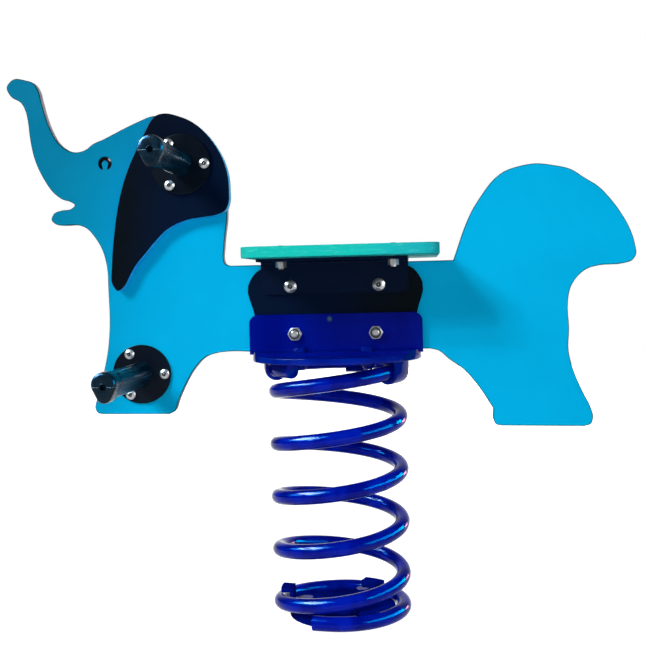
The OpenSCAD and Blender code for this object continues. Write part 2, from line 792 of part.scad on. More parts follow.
// Grip section: a round back and a narrower round belly below it
module grip_section(lip) {
    back_r = grip_w / 2;
    belly_r = grip_belly_w / 2;
    belly_z = grip_rise + back_r + belly_r - grip_h;
    lean = acos((back_r - belly_r) / (grip_rise - belly_z));
    polygon(concat(
        arc_points([0, grip_rise], back_r + lip, lean - 90, 270 - lean, back_steps),
        arc_points([0, belly_z], belly_r + lip, 270 - lean, 270 + lean, belly_steps)));
}

module grip(x, z, face) {
    root = face + flange_t;
    long = grip_reach - root;
    color("#14161a") difference() {
        facing_near(x, -root, plate_top + z) {
            linear_extrude(long) grip_section(0);
            linear_extrude(grip_collar_l) grip_section(grip_collar_lip);
            translate([0, 0, long - grip_cap_l]) linear_extrude(grip_cap_l)
                grip_section(grip_cap_lip);
        }
        facing_near(x, -root + cut_past, plate_top + z)
            cylinder(d = stub_d + 2 * grip_clear, h = long - grip_end_t + cut_past);
        facing_near(x, -root, plate_top + z) cylinder(d = grip_vent_d, h = long + cut_past);
    }
}

module flange_bolts(x, z, face) {
    color("silver") flange_bolt_places(x, plate_top + z)
        facing_near(0, -face - flange_t, 0)
            button_bolt(screw_d, screw_button_d, screw_head_h,
                2 * (face + flange_t) + screw_nut_h + bolt_tail);
}

module flange_nuts(x, z, face) {
    color("silver") flange_bolt_places(x, plate_top + z) facing_far(0, face + flange_t, 0)
        lock_nut(screw_d, screw_af, screw_nut_h);
}

module hand_flange_near() {
    grip_flange(hand_x, hand_z, ear_face);
}

module hand_flange_far() {
    far_side() hand_flange_near();
}

module hand_grip_near() {
    grip(hand_x, hand_z, ear_face);
}

module hand_grip_far() {
    far_side() hand_grip_near();
}

module hand_flange_bolts() {
    flange_bolts(hand_x, hand_z, ear_face);
}

module hand_flange_nuts() {
    flange_nuts(hand_x, hand_z, ear_face);
}

module foot_flange_near() {
    grip_flange(foot_x, foot_z, panel_face);
}

module foot_flange_far() {
    far_side() foot_flange_near();
}

module foot_grip_near() {
    grip(foot_x, foot_z, panel_face);
}

module foot_grip_far() {
    far_side() foot_grip_near();
}

module foot_flange_bolts() {
    flange_bolts(foot_x, foot_z, panel_face);
}

module foot_flange_nuts() {
    flange_nuts(foot_x, foot_z, panel_face);
}

ground_plate();
ground_clamp_right();
ground_clamp_left();
ground_clamp_front();
ground_clamp_bolts();
coil_spring();
top_plate();
spring_hook_right();
spring_hook_rear();
spring_hook_left();
spring_bracket_near();
spring_bracket_far();
bracket_plate_bolts();
bracket_plate_nuts();
lower_panel_bolts();
lower_panel_nuts();
body_panel();
reinforcing_plate_near();
reinforcing_plate_far();
ear_near();
ear_far();
seat_bracket_near();
seat_bracket_far();
upper_panel_bolts();
upper_panel_nuts();
seat_board();
seat_bolts();
seat_nuts();
hand_flange_near();
hand_flange_far();
hand_grip_near();
hand_grip_far();
hand_flange_bolts();
hand_flange_nuts();
foot_flange_near();
foot_flange_far();
foot_grip_near();
foot_grip_far();
foot_flange_bolts();
foot_flange_nuts();
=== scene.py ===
# %% [markdown]
# # A spring rider for the playground
#
# The rider is a flat elephant board that stands on a steel coil spring. Boards with ears, a seat, two hand
# grips and two foot rests are bolted to it, and a bent steel bracket on each side ties it to a round plate.
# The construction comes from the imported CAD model: every piece below is laid over a CAD piece, in the same
# frame and in metres, so nothing is moved or resized here. This lesson adds what a CAD solid lacks: routed
# edges, moulded grips, a round spring wire, thick paint and turned steel.

# %% Load the frame
import json
import math

import bpy
from mathutils import Euler, Matrix, Vector


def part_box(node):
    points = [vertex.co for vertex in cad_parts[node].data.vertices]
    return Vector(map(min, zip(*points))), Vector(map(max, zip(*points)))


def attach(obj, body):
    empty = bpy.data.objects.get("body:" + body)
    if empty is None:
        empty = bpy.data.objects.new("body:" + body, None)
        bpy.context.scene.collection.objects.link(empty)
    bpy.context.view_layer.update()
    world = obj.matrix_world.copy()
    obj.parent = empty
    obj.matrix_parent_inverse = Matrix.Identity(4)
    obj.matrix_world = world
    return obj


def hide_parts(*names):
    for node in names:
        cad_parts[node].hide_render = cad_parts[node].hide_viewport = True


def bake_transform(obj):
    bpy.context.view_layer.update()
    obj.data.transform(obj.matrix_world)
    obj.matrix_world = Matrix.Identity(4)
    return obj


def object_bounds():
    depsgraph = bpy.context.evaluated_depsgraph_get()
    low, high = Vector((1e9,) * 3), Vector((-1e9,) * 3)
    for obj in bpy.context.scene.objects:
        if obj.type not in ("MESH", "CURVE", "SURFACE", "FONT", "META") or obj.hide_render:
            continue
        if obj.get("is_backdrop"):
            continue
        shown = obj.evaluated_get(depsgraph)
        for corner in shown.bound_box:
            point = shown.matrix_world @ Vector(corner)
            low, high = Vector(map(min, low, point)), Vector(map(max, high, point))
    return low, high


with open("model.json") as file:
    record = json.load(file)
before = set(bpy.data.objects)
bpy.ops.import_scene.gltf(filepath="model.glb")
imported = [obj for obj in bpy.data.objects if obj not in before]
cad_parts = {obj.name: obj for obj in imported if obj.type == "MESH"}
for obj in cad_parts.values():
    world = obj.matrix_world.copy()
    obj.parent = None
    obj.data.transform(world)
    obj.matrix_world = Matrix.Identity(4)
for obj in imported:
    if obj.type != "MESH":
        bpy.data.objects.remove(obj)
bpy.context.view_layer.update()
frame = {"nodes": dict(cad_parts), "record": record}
cad_nodes = frame["nodes"]
body_of = {node: body for body, held in frame["record"]["behaviour"]["bodies"].items() for node in held}
MM = 0.001

# %% [markdown]
# ## Working by hand, in code
#
# An operator acts on whatever is selected, just as it does after a click. The imported CAD nodes arrive
# selected, so each step first clears the selection and then picks one piece. Inside edit mode, faces and
# points are picked by asking a question of each one, such as "do you look upwards?".

# %% Picking pieces, faces and points
def leave_edit():
    bpy.ops.object.mode_set(mode="OBJECT")


def pick(piece):
    if bpy.context.mode != "OBJECT":
        leave_edit()
    bpy.ops.object.select_all(action="DESELECT")
    piece.select_set(True)
    bpy.context.view_layer.objects.active = piece


def open_empty(piece, kind):
    """Clears what is selected inside a piece, so that marks can be set in object mode."""
    pick(piece)
    bpy.ops.object.mode_set(mode="EDIT")
    bpy.ops.mesh.select_mode(type=kind)
    bpy.ops.mesh.select_all(action="DESELECT")
    leave_edit()


def edit_faces(piece, wanted):
    open_empty(piece, "FACE")
    for face in piece.data.polygons:
        face.select = wanted(face)
    bpy.ops.object.mode_set(mode="EDIT")


def edit_points(piece, wanted):
    open_empty(piece, "VERT")
    for point in piece.data.vertices:
        point.select = wanted(point.co)
    bpy.ops.object.mode_set(mode="EDIT")


def apply_modifier(piece, kind, **settings):
    pick(piece)
    added = piece.modifiers.new(kind.lower(), kind)
    for name, value in settings.items():
        setattr(added, name, value)
    bpy.ops.object.modifier_apply(modifier=added.name)


print("pieces, faces and points can be picked")

# %% [markdown]
# ## Softened pieces
#
# A real board or bracket has no edge of zero width: a router or a file has gone along it. The CAD mesh is
# loose triangles with razor edges, so each piece starts as a copy of it whose triangles are merged and joined
# into flat faces. A Bevel modifier, limited by angle, then rounds only the true edges, and weighted normals
# keep the flats flat in the light. Drawing the outlines anew would give the same shape with more work.

# %% Copy, merge and round
MERGE_WITHIN, FLAT_WITHIN = 0.005 * MM, math.radians(0.3)
SMOOTH_UNDER, NORMAL_WEIGHT = math.radians(50), 80


def bench_copy(node, name):
    piece = bpy.data.objects.new(name, cad_nodes[node].data.copy())
    piece.data.materials.clear()
    bpy.context.scene.collection.objects.link(piece)
    pick(piece)
    bpy.ops.mesh.customdata_custom_splitnormals_clear()
    bpy.ops.object.mode_set(mode="EDIT")
    bpy.ops.mesh.select_all(action="SELECT")
    bpy.ops.mesh.remove_doubles(threshold=MERGE_WITHIN)
    bpy.ops.mesh.dissolve_limited(angle_limit=FLAT_WITHIN)
    leave_edit()
    return piece


def round_edges(piece, width, segments=2, over=35, finish=-1, clamp=True):
    apply_modifier(piece, "BEVEL", width=width, segments=segments, limit_method="ANGLE",
                   angle_limit=math.radians(over), material=finish, use_clamp_overlap=clamp)
    bpy.ops.object.shade_smooth_by_angle(angle=SMOOTH_UNDER)
    apply_modifier(piece, "WEIGHTED_NORMAL", weight=NORMAL_WEIGHT, keep_sharp=True)


def give_finishes(piece, *finishes):
    for finish in finishes:
        piece.data.materials.append(finish)


def paint_faces(piece, index, wanted):
    for face in piece.data.polygons:
        if wanted(face):
            face.material_index = index


print("a copied piece can be merged, rounded and painted")

# %% [markdown]
# ## The camera
#
# The photograph was taken from a little to the right of the spring, at the height of the seat, with the
# elephant almost flat to the picture. A camera could be aimed with a Track To constraint, but a place, three
# angles and a lens are easier to read. The slight roll stands for the way the rider leans on its spring.

# %% Camera
SENSOR, LENS = 36.0, 58.18
camera_at = Vector((118.1, -1426.7, 459.4)) * MM
turn_left = math.radians(5.46)
look_down = math.radians(2.32)
roll = math.radians(-1.39)

camera = bpy.data.objects.new("camera", bpy.data.cameras.new("camera"))
bpy.context.scene.collection.objects.link(camera)
camera.data.sensor_width = SENSOR
camera.data.lens = LENS
aim = Euler((math.pi / 2 - look_down, 0, turn_left)).to_matrix() @ Matrix.Rotation(roll, 3, "Z")
camera.matrix_world = Matrix.Translation(camera_at) @ aim.to_4x4()
bpy.context.scene.camera = camera
bpy.context.scene.view_settings.view_transform = "Standard"
print("camera", [round(v, 3) for v in camera_at])

# %% [markdown]
# ## Node helpers
#
# Materials are trees of nodes. A few small helpers keep them readable: one adds a node, sets its options and
# fills or links its sockets by name, one starts a material and hands back its main shader, and others do a
# sum, a mix or a smooth step.

# %% Adding nodes
def fill(tree, socket, value):
    if isinstance(value, bpy.types.NodeSocket):
        tree.links.new(value, socket)
    else:
        socket.default_value = value


def fill_named(tree, node, **sockets):
    """Fills or links sockets by name, with each space written as an underscore."""
    for name, value in sockets.items():
        fill(tree, node.inputs[name.replace("_", " ")], value)


def add(tree, kind, options=None, **sockets):
    made = tree.nodes.new("ShaderNode" + kind)
    for name, value in (options or {}).items():
        setattr(made, name, value)
    fill_named(tree, made, **sockets)
    return made


def new_finish(name):
    finish = bpy.data.materials.new(name)
    finish.use_nodes = True
    tree = finish.node_tree
    print("finish:", name)
    return finish, tree, tree.nodes["Principled BSDF"], add(tree, "TexCoord").outputs["Object"]


def rgb(red, green, blue):
    return (red, green, blue, 1.0)


print("nodes can be added and filled")


# %% Sums, mixes and steps
def math_of(tree, operation, first, second=0.0):
    made = add(tree, "Math", {"operation": operation})
    fill(tree, made.inputs[0], first)
    fill(tree, made.inputs[1], second)
    return made.outputs[0]


def between(tree, share, first, second):
    """Mixes two colours by a share from 0 to 1."""
    made = add(tree, "Mix", {"data_type": "RGBA"})
    fill(tree, made.inputs["Factor"], share)
    fill(tree, made.inputs[6], first)
    fill(tree, made.inputs[7], second)
    return made.outputs[2]


def step_up(tree, value, low, high, to_low=0.0, to_high=1.0):
    """Maps a value smoothly from one range to another."""
    made = add(tree, "MapRange", {"interpolation_type": "SMOOTHSTEP"}, Value=value, From_Min=low,
               From_Max=high, To_Min=to_low, To_Max=to_high)
    return made.outputs["Result"]


def step_down(tree, value, low, high):
    return math_of(tree, "SUBTRACT", 1.0, step_up(tree, value, low, high))


print("values can be added, mixed and stepped")

# %% [markdown]
# ## World and floor
#
# The rider stands before plain white. The Light Path node tells three kinds of rays apart. The camera sees
# white. Gloss and glass see a studio: the same white behind the rider, a little light from above and a dim
# room on the camera's side, so that blue paint stays blue. Matt surfaces get a low, even light. The floor is
# a pale plane that keeps the shadow. Its emission, for the camera and for gloss, lifts it to the white of the
# background.

# %% World
AMBIENT = 0.04
STUDIO_FRONT, STUDIO_TOP, STUDIO_BACK = 0.02, 0.08, 1.0
BACK_FROM, BACK_FULL = 0.6, 1.0
TOP_FROM, TOP_FULL = 0.35, 0.9
WHITE = rgb(1, 1, 1)


def kinds_of_ray(tree):
    """A mask for rays of the camera, and one for rays that gloss or glass sends on."""
    rays = add(tree, "LightPath").outputs
    mirrored = math_of(tree, "MAXIMUM", rays["Is Glossy Ray"], rays["Is Transmission Ray"])
    return rays["Is Camera Ray"], mirrored


world = bpy.data.worlds.new("studio")
bpy.context.scene.world = world
world.use_nodes = True
sky = world.node_tree
sky.nodes.clear()
looked_at, mirrored = kinds_of_ray(sky)
way = add(sky, "SeparateXYZ", Vector=add(sky, "TexCoord").outputs["Generated"])
behind = step_up(sky, way.outputs["Y"], BACK_FROM, BACK_FULL, STUDIO_FRONT, STUDIO_BACK)
above = step_up(sky, way.outputs["Z"], TOP_FROM, TOP_FULL, 0.0, STUDIO_TOP)
studio = math_of(sky, "MAXIMUM", behind, above)
level = add(sky, "Mix", Factor=mirrored, A=AMBIENT, B=studio)
seen = add(sky, "Mix", Factor=looked_at, A=level.outputs[0], B=1.0)
backdrop = add(sky, "Background", Strength=seen.outputs[0], Color=WHITE)
sky.links.new(backdrop.outputs[0], add(sky, "OutputWorld").inputs["Surface"])
print("world: ambient", AMBIENT, "and", STUDIO_BACK, "behind the rider")

# %% Floor
FLOOR_SIZE = 8.0
LIFT_NEAR, LIFT_FAR = 0.92, 1.0
LIFT_FROM, LIFT_TO = 0.3, 1.2

bpy.ops.object.select_all(action="DESELECT")
bpy.ops.mesh.primitive_plane_add(size=FLOOR_SIZE, location=(0, 0, 0))
floor = bpy.context.object
floor.name = "floor"
pale, tree, shader, spot = new_finish("pale floor")
haze = add(tree, "TexNoise", Vector=spot, Scale=3.0, Detail=2.0).outputs["Fac"]
away = add(tree, "VectorMath", {"operation": "LENGTH"}, Vector=spot).outputs["Value"]
lift = step_up(tree, away, LIFT_FROM, LIFT_TO, LIFT_NEAR, LIFT_FAR)
lifted = math_of(tree, "MAXIMUM", *kinds_of_ray(tree))
fill_named(tree, shader, Base_Color=between(tree, haze, rgb(0.56, 0.56, 0.56), rgb(0.6, 0.6, 0.6)),
           Roughness=0.9, Specular_IOR_Level=0.0, Emission_Color=WHITE,
           Emission_Strength=math_of(tree, "MULTIPLY", lifted, lift))
floor.data.materials.append(pale)
floor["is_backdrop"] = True
print("floor", FLOOR_SIZE, "m wide")

# %% [markdown]
# ## Lamps
#
# The shadows of the ear, the seat and the foot rest fall to the lower right and are soft, so the key stands
# high on the left: a large square lamp for the whole rider, and a ring of six spots whose pool of light ends
# before the head, which lies in half shade. At the camera a point fills the shadows and one more spot
# brightens the same pool, and two large lamps light the back and the right side for the other views. On a
# wall that faces it, an area lamp's light is its power over pi squared times the distance squared, and a
# point's or spot's is a quarter of that, so each power is worked out from the share of light that the lamp
# should give.

# %% Large lamps
ROOM_SHARE, BACK_SHARE, SIDE_SHARE = 0.14, 0.7, 0.3
ROOM_SIZE, FAR_SIZE, FAR_WAY = 2.1, 2.5, 5.0
FROM_AREA, FROM_POINT = math.pi ** 2, 4 * math.pi ** 2
key_at, room_aim = Vector((-3.1, -4.0, 3.7)), Vector((0, 0, 0.5))


def lamp(name, kind, place, target, **settings):
    data = bpy.data.lights.new(name, kind)
    for label, value in settings.items():
        setattr(data, label, value)
    made = bpy.data.objects.new(name, data)
    bpy.context.scene.collection.objects.link(made)
    line = Vector(target) - Vector(place)
    made.matrix_world = Matrix.Translation(place) @ line.to_track_quat("-Z", "Y").to_matrix().to_4x4()
    return made


room_line = room_aim - key_at
room_power = ROOM_SHARE * FROM_AREA * room_line.length ** 3 / room_line.y
room_lamp = lamp("room", "AREA", key_at, room_aim, energy=room_power, size=ROOM_SIZE)
back_lamp = lamp("back", "AREA", (0.8, FAR_WAY, 1.6), room_aim,
                 energy=BACK_SHARE * FROM_AREA * FAR_WAY ** 2, size=FAR_SIZE)
side_lamp = lamp("side", "AREA", (FAR_WAY, 0.4, 1.8), room_aim,
                 energy=SIDE_SHARE * FROM_AREA * FAR_WAY ** 2, size=FAR_SIZE)
print("room lamp:", round(room_power, 1), "W")

# %% Point and spots
FRONT_SHARE, FRONT_SOFT, SPOT_SOFT = 0.21, 0.3, 0.03
BODY_SHARE, BODY_FULL, BODY_EDGE = 0.15, 0.52, 0.56
BANK_SHARE, BANK_FULL, BANK_EDGE = 0.27, 0.65, 0.67
BANK_LAMPS, BANK_SPREAD = 6, 0.6
body_aim, bank_aim = Vector((0.14, 0, 0.22)), Vector((0.447, 0, -0.06))


def cone(way, full_r, edge_r):
    """Spot settings for a pool of light that is full up to one radius and ends at another."""
    full, edge = (math.cos(math.atan(radius / way)) for radius in (full_r, edge_r))
    return {"spot_size": 2 * math.acos(edge), "spot_blend": (full - edge) / (1 - edge)}


front_power = FRONT_SHARE * FROM_POINT * (room_aim - camera_at).length ** 2
front_lamp = lamp("front", "POINT", camera_at, room_aim, energy=front_power, shadow_soft_size=FRONT_SOFT)

body_way = (body_aim - camera_at).length
body_lamp = lamp("body_spot", "SPOT", camera_at, body_aim, energy=BODY_SHARE * FROM_POINT * body_way ** 2,
                 shadow_soft_size=SPOT_SOFT, **cone(body_way, BODY_FULL, BODY_EDGE))

bank_line = bank_aim - key_at
bank_power = BANK_SHARE / BANK_LAMPS * FROM_POINT * bank_line.length ** 3 / bank_line.y
aside = bank_line.cross(Vector((0, 0, 1))).normalized()
upright = aside.cross(bank_line).normalized()
bank = []
for number in range(BANK_LAMPS):
    turn = 2 * math.pi * number / BANK_LAMPS
    place = key_at + BANK_SPREAD * (math.cos(turn) * aside + math.sin(turn) * upright)
    bank.append(lamp(f"bank_{number}", "SPOT", place, bank_aim, energy=bank_power,
                     shadow_soft_size=SPOT_SOFT, **cone(bank_line.length, BANK_FULL, BANK_EDGE)))
for soft in (room_lamp, back_lamp, side_lamp, front_lamp, body_lamp, *bank):
    soft.visible_glossy = False
    soft.visible_camera = False
print("front", round(front_power, 1), "W, bank", BANK_LAMPS, "x", round(bank_power, 1), "W")

# %% [markdown]
# ## Windows for the gloss
#
# Gloss needs something to mirror. These lamps make reflections only, because matt surfaces don't see them:
# cool windows at the upper left draw the long streaks on the wire, blue ones give their soft borders and the
# streaks on the right, and a pink strip the glints at the turns. Only the first window is shown to every
# piece. Light linking shows each of the others to one collection: the coloured ones to the wire and the
# grips, because from the side a flat plate would mirror a whole window, and the plain ones to the bolts and
# nuts.

# %% Windows
tinted, plain, wire_only = (bpy.data.collections.new(f"{kind} gloss") for kind in ("tinted", "plain", "wire"))
WINDOW_AIM = Vector((0, 0, 0.25))
COOL_AT, COOL = (-1.75, -0.5, 1.93), (0.75, 0.93, 1.0)
# place, width, height, glow, colour, and the pieces that mirror it
windows = {
    "cool_window": (COOL_AT, 1.7, 0.8, 70.0, COOL, None),
    "paint_window": (COOL_AT, 1.7, 0.8, 190.0, COOL, tinted),
    "wire_window": (COOL_AT, 1.7, 0.9, 140.0, COOL, wire_only),
    "sky_window": ((-1.85, -0.55, 2.03), 2.8, 1.8, 75.0, (0.0, 0.4, 1.0), tinted),
    "side_window": ((2.0, -0.2, 0.8), 3.8, 0.9, 68.0, (0.0, 0.46, 1.0), tinted),
    "pink_strip": ((1.5, 1.5, 0.2), 0.5, 0.4, 24.0, (1.0, 0.45, 0.55), wire_only),
    "right_window": ((1.9, -0.6, 0.9), 0.9, 0.7, 30.0, (0.95, 0.97, 1.0), plain),
    "front_card": ((0.0, -1.6, 0.6), 3.0, 2.4, 0.35, (1.0, 0.95, 0.9), plain),
}
for name, (place, wide, high, glow, tint, only) in windows.items():
    window = lamp(name, "AREA", Vector(place), WINDOW_AIM, energy=glow * math.pi * wide * high,
                  shape="RECTANGLE", size=wide, size_y=high, color=tint)
    window.visible_diffuse = False
    window.visible_camera = False
    if only:
        window.light_linking.receiver_collection = only
print("windows:", *windows)

# %% [markdown]
# ## Handing a piece over
#
# Handing over ties a finished piece to the frame: it rides on the body of the CAD node that it stands for,
# and it hides that node. The slot's name only picks the collection whose windows its gloss should mirror,
# where that slot has one.

# %% Handing over
mirrors = {"grip_rubber": tinted, "stainless": plain}


def hand_over(piece, slot, *nodes):
    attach(piece, body_of[nodes[0]])
    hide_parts(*nodes)
    if slot in mirrors:
        mirrors[slot].objects.link(piece)


print("slots with windows of their own:", *mirrors)

# %% [markdown]
# ## Shared effects
#
# Three effects come back in many finishes, so each is a node group with named sockets. Fine grain is the
# pebbled skin of a board or a powder coat, with a slow drift in tone. Thick paint has the dimples and the
# runs of gloss paint that was laid on heavily, and the specks in it. Turned marks are the hair lines that a
# tool leaves on steel.

# %% Fine grain
def start_group(name, inputs, outputs):
    group = bpy.data.node_groups.new(name, "ShaderNodeTree")
    print("group:", name, "with", *outputs)
    group.interface.new_socket("Vector", in_out="INPUT", socket_type="NodeSocketVector")
    for label, value in inputs.items():
        socket = group.interface.new_socket(label, in_out="INPUT", socket_type="NodeSocketFloat")
        socket.default_value = value
    for label in outputs:
        group.interface.new_socket(label, in_out="OUTPUT", socket_type="NodeSocketFloat")
    return group, group.nodes.new("NodeGroupInput").outputs, group.nodes.new("NodeGroupOutput").inputs


def use_group(tree, group, **sockets):
    return add(tree, "Group", {"node_tree": group}, **sockets).outputs


grain, into, out = start_group("fine grain", {"Grain Size": 900.0, "Drift Size": 6.0},
                               ["Height", "Drift", "Speck"])
pebbles = add(grain, "TexNoise", Vector=into["Vector"], Scale=into["Grain Size"], Detail=2.0,
              Roughness=0.55).outputs["Fac"]
slow = add(grain, "TexNoise", Vector=into["Vector"], Scale=into["Drift Size"], Detail=3.0,
           Roughness=0.6).outputs["Fac"]
fill(grain, out["Height"], pebbles)
fill(grain, out["Drift"], step_up(grain, slow, 0.3, 0.7))
fill(grain, out["Speck"], step_up(grain, pebbles, 0.6, 0.78))

# %% Thick paint
DIMPLE_SHARE, RUN_SHARE = 0.3, 0.7
paint, into, out = start_group("thick paint", {"Peel Size": 160.0, "Run Size": 22.0},
                               ["Height", "Pool", "Speck"])
dimples = add(paint, "TexNoise", Vector=into["Vector"], Scale=into["Peel Size"], Detail=1.5).outputs["Fac"]
drawn = add(paint, "Mapping", Vector=into["Vector"], Scale=(1.0, 1.0, 0.3)).outputs["Vector"]
runs = add(paint, "TexNoise", Vector=drawn, Scale=into["Run Size"], Detail=2.0, Roughness=0.5).outputs["Fac"]
dots = add(paint, "TexVoronoi", Vector=into["Vector"], Scale=into["Peel Size"]).outputs["Distance"]
waves = math_of(paint, "ADD", math_of(paint, "MULTIPLY", dimples, DIMPLE_SHARE),
                math_of(paint, "MULTIPLY", runs, RUN_SHARE))
fill(paint, out["Height"], waves)
fill(paint, out["Pool"], step_up(paint, runs, 0.35, 0.65))
fill(paint, out["Speck"], step_down(paint, dots, 0.06, 0.14))

# %% Turned marks
turned, into, out = start_group("turned marks", {"Mark Size": 1500.0}, ["Height", "Shade"])
hairs = add(turned, "TexNoise", Vector=into["Vector"], Scale=into["Mark Size"], Detail=2.0).outputs["Fac"]
cloud = add(turned, "TexNoise", Vector=into["Vector"], Scale=120.0, Detail=2.0).outputs["Fac"]
fill(turned, out["Height"], hairs)
fill(turned, out["Shade"], step_up(turned, cloud, 0.3, 0.7))

# %% [markdown]
# ## Finishes of the boards
#
# The body, the ears and the seat are coloured plastic boards. The body has a cyan skin; its rounded edge is
# painted dark teal as painted shade where the edge turns away from the light, and its cut sides are painted
# pale grey as painted light. The ears have a black skin over a blue core, which shows wherever a router has
# cut the edge and is brightened as painted light, and the seat is turquoise with sawn edges. A satin board is
# a Principled shader with a middling roughness, a faint pebble bump and a slow drift of colour.

# %% Board finishes
ROUGH_DRIFT = 0.05


def bumped(tree, height, depth):
    return add(tree, "Bump", Height=height, Distance=depth, Strength=1.0).outputs["Normal"]


def grained(name, grain_size, drift_size):
    """Starts a finish with the fine grain in it."""
    finish, tree, shader, spot = new_finish(name)
    marks = use_group(tree, grain, Vector=spot, Grain_Size=grain_size, Drift_Size=drift_size)
    return finish, tree, shader, spot, marks


def board_finish(name, dark, light, rough, gloss, grain_size=700.0, drift_size=5.0, depth=0.05 * MM):
    finish, tree, shader, spot, marks = grained(name, grain_size, drift_size)
    roughness = step_up(tree, marks["Drift"], 0.0, 1.0, rough - ROUGH_DRIFT, rough + ROUGH_DRIFT)
    fill_named(tree, shader, Base_Color=between(tree, marks["Drift"], dark, light), Roughness=roughness,
               Specular_IOR_Level=gloss, Normal=bumped(tree, marks["Height"], depth))
    return finish


cyan_skin = board_finish("cyan skin", rgb(0.0, 0.395, 0.72), rgb(0.0, 0.43, 0.775), 0.5, 0.02)
# Painted shade: this dark teal goes on the panel's rounded edge, where the edge turns away from the light.
painted_edge_shade = board_finish("painted dark teal edge shade", rgb(0.0, 0.085, 0.125), rgb(0.0, 0.12, 0.17), 0.55, 0.0, 300.0)
# Painted light: this pale grey goes on the panel's cut sides, standing in for the light that they catch.
pale_cut_side_light = board_finish("painted light on the cut sides", rgb(0.4, 0.36, 0.4), rgb(0.48, 0.44, 0.48), 0.55, 0.05, 300.0)
# Partly painted light: the ears' blue core is made brighter than its own blue, for edges that face away from
# the key.
blue_edge_with_painted_light = board_finish("blue core brightened by painted light", rgb(0.02, 0.46, 0.96), rgb(0.04, 0.56, 1.0), 0.5, 0.05, 300.0)
turquoise_skin = board_finish("turquoise skin", rgb(0.012, 0.47, 0.43), rgb(0.016, 0.53, 0.48), 0.5, 0.08)

# %% Black skin with a painted navy reflection
NAVY_REFLECTION_FROM, NAVY_REFLECTION_FULL = -290 * MM, -190 * MM
NAVY_REFLECTION_UNTIL, NAVY_REFLECTION_GONE = 0.0, 110 * MM
NAVY_REFLECTION_DRIFT = 40 * MM

black_skin, tree, shader, spot, marks = grained("black skin", 900.0, 7.0)
# Painted reflection: the black turns navy from the ear towards the middle of the rider and fades back to
# black on the right, by position along X.
along = add(tree, "SeparateXYZ", Vector=spot).outputs["X"]
along = math_of(tree, "ADD", along, math_of(tree, "MULTIPLY", marks["Drift"], NAVY_REFLECTION_DRIFT))
navy_reflection_paint = math_of(tree, "MULTIPLY", step_up(tree, along, NAVY_REFLECTION_FROM, NAVY_REFLECTION_FULL),
               step_down(tree, along, NAVY_REFLECTION_UNTIL, NAVY_REFLECTION_GONE))
tone = between(tree, navy_reflection_paint, rgb(0.002, 0.0045, 0.008), rgb(0.0003, 0.0055, 0.024))
fill_named(tree, shader, Base_Color=tone, Roughness=step_up(tree, marks["Drift"], 0.0, 1.0, 0.4, 0.5),
           Specular_IOR_Level=0.03, Normal=bumped(tree, marks["Height"], 0.06 * MM))

# %% Painted shade and glint in the eye slot
GLINT_PAINTED_AT, GLINT_PAINTED_TURN = Vector((-310.4, 0.0, 634.2)) * MM, math.radians(50)
GLINT_PAINTED_SIZE = (3.4 * MM, 1.0, 1.4 * MM)

eye_slot_shade_and_glint, tree, shader, spot, marks = grained("painted shade and glint in the eye slot", 700.0, 90.0)
# Painted shade and highlight: the slot is near black for the shade inside it, and a pale pink spot at its
# upper right is a painted glint.
place = add(tree, "Mapping", {"vector_type": "TEXTURE"}, Vector=spot, Location=GLINT_PAINTED_AT,
            Rotation=(0, GLINT_PAINTED_TURN, 0), Scale=GLINT_PAINTED_SIZE).outputs["Vector"]
off = add(tree, "VectorMath", {"operation": "LENGTH"}, Vector=place).outputs["Value"]
dark = between(tree, marks["Drift"], rgb(0.002, 0.006, 0.014), rgb(0.012, 0.006, 0.01))
tone = between(tree, step_down(tree, off, 0.4, 1.1), dark, rgb(0.9, 0.78, 0.8))
fill_named(tree, shader, Base_Color=tone, Roughness=0.4, Specular_IOR_Level=0.1,
           Normal=bumped(tree, marks["Height"], 0.05 * MM))

# %% Sawn edge of the seat
COOLER_FROM, COOLER_TO = 20 * MM, 125 * MM
STREAK_SHARE, SPECK_SHARE = 0.45, 0.5

sawn_edge, tree, shader, spot, marks = grained("sawn turquoise edge", 420.0, 18.0)
drawn = add(tree, "Mapping", Vector=spot, Scale=(0.12, 0.12, 1.0)).outputs["Vector"]
streaks = add(tree, "TexNoise", Vector=drawn, Scale=420.0, Detail=3.0, Roughness=0.6).outputs["Fac"]
along = add(tree, "SeparateXYZ", Vector=spot).outputs["X"]
cooler = step_up(tree, along, COOLER_FROM, COOLER_TO)
tone = between(tree, cooler, rgb(0.006, 0.51, 0.45), rgb(0.008, 0.40, 0.45))
light = math_of(tree, "MULTIPLY", step_up(tree, streaks, 0.5, 0.72), STREAK_SHARE)
tone = between(tree, light, tone, rgb(0.1, 0.6, 0.56))
tone = between(tree, math_of(tree, "MULTIPLY", marks["Speck"], SPECK_SHARE), tone, rgb(0.0, 0.38, 0.36))
fill_named(tree, shader, Base_Color=tone, Roughness=0.6, Specular_IOR_Level=0.05,
           Normal=bumped(tree, streaks, 0.25 * MM))

# %% [markdown]
# ## Finishes of the metalwork
#
# The spring, the round plate, the hooks and the brackets wear deep blue gloss paint, laid on so thickly that
# it dimples, runs and carries specks. A Principled coat gives the sharp shine over the paint's own body. The
# spring brackets have a chip in their paint, drawn as a round mask with a ragged edge, and a light blue
# painted highlight along their edges. The seat brackets and the flanges have a black powder coat, and the
# grips are moulded black with a drawn grain and a teal tint on their body, a painted reflection of the cyan
# board. The bolts and nuts are bright stainless steel, with a nylon ring in each lock nut, and the sockets of
# the button heads are painted dark as painted shade.

# %% Blue gloss paint
CHIP_AT, CHIP_R = Vector((-7.7, 0.0, 407.7)) * MM, 3.6 * MM
CHIP_FADE, CHIP_RAGGED = 5 * MM, 6 * MM


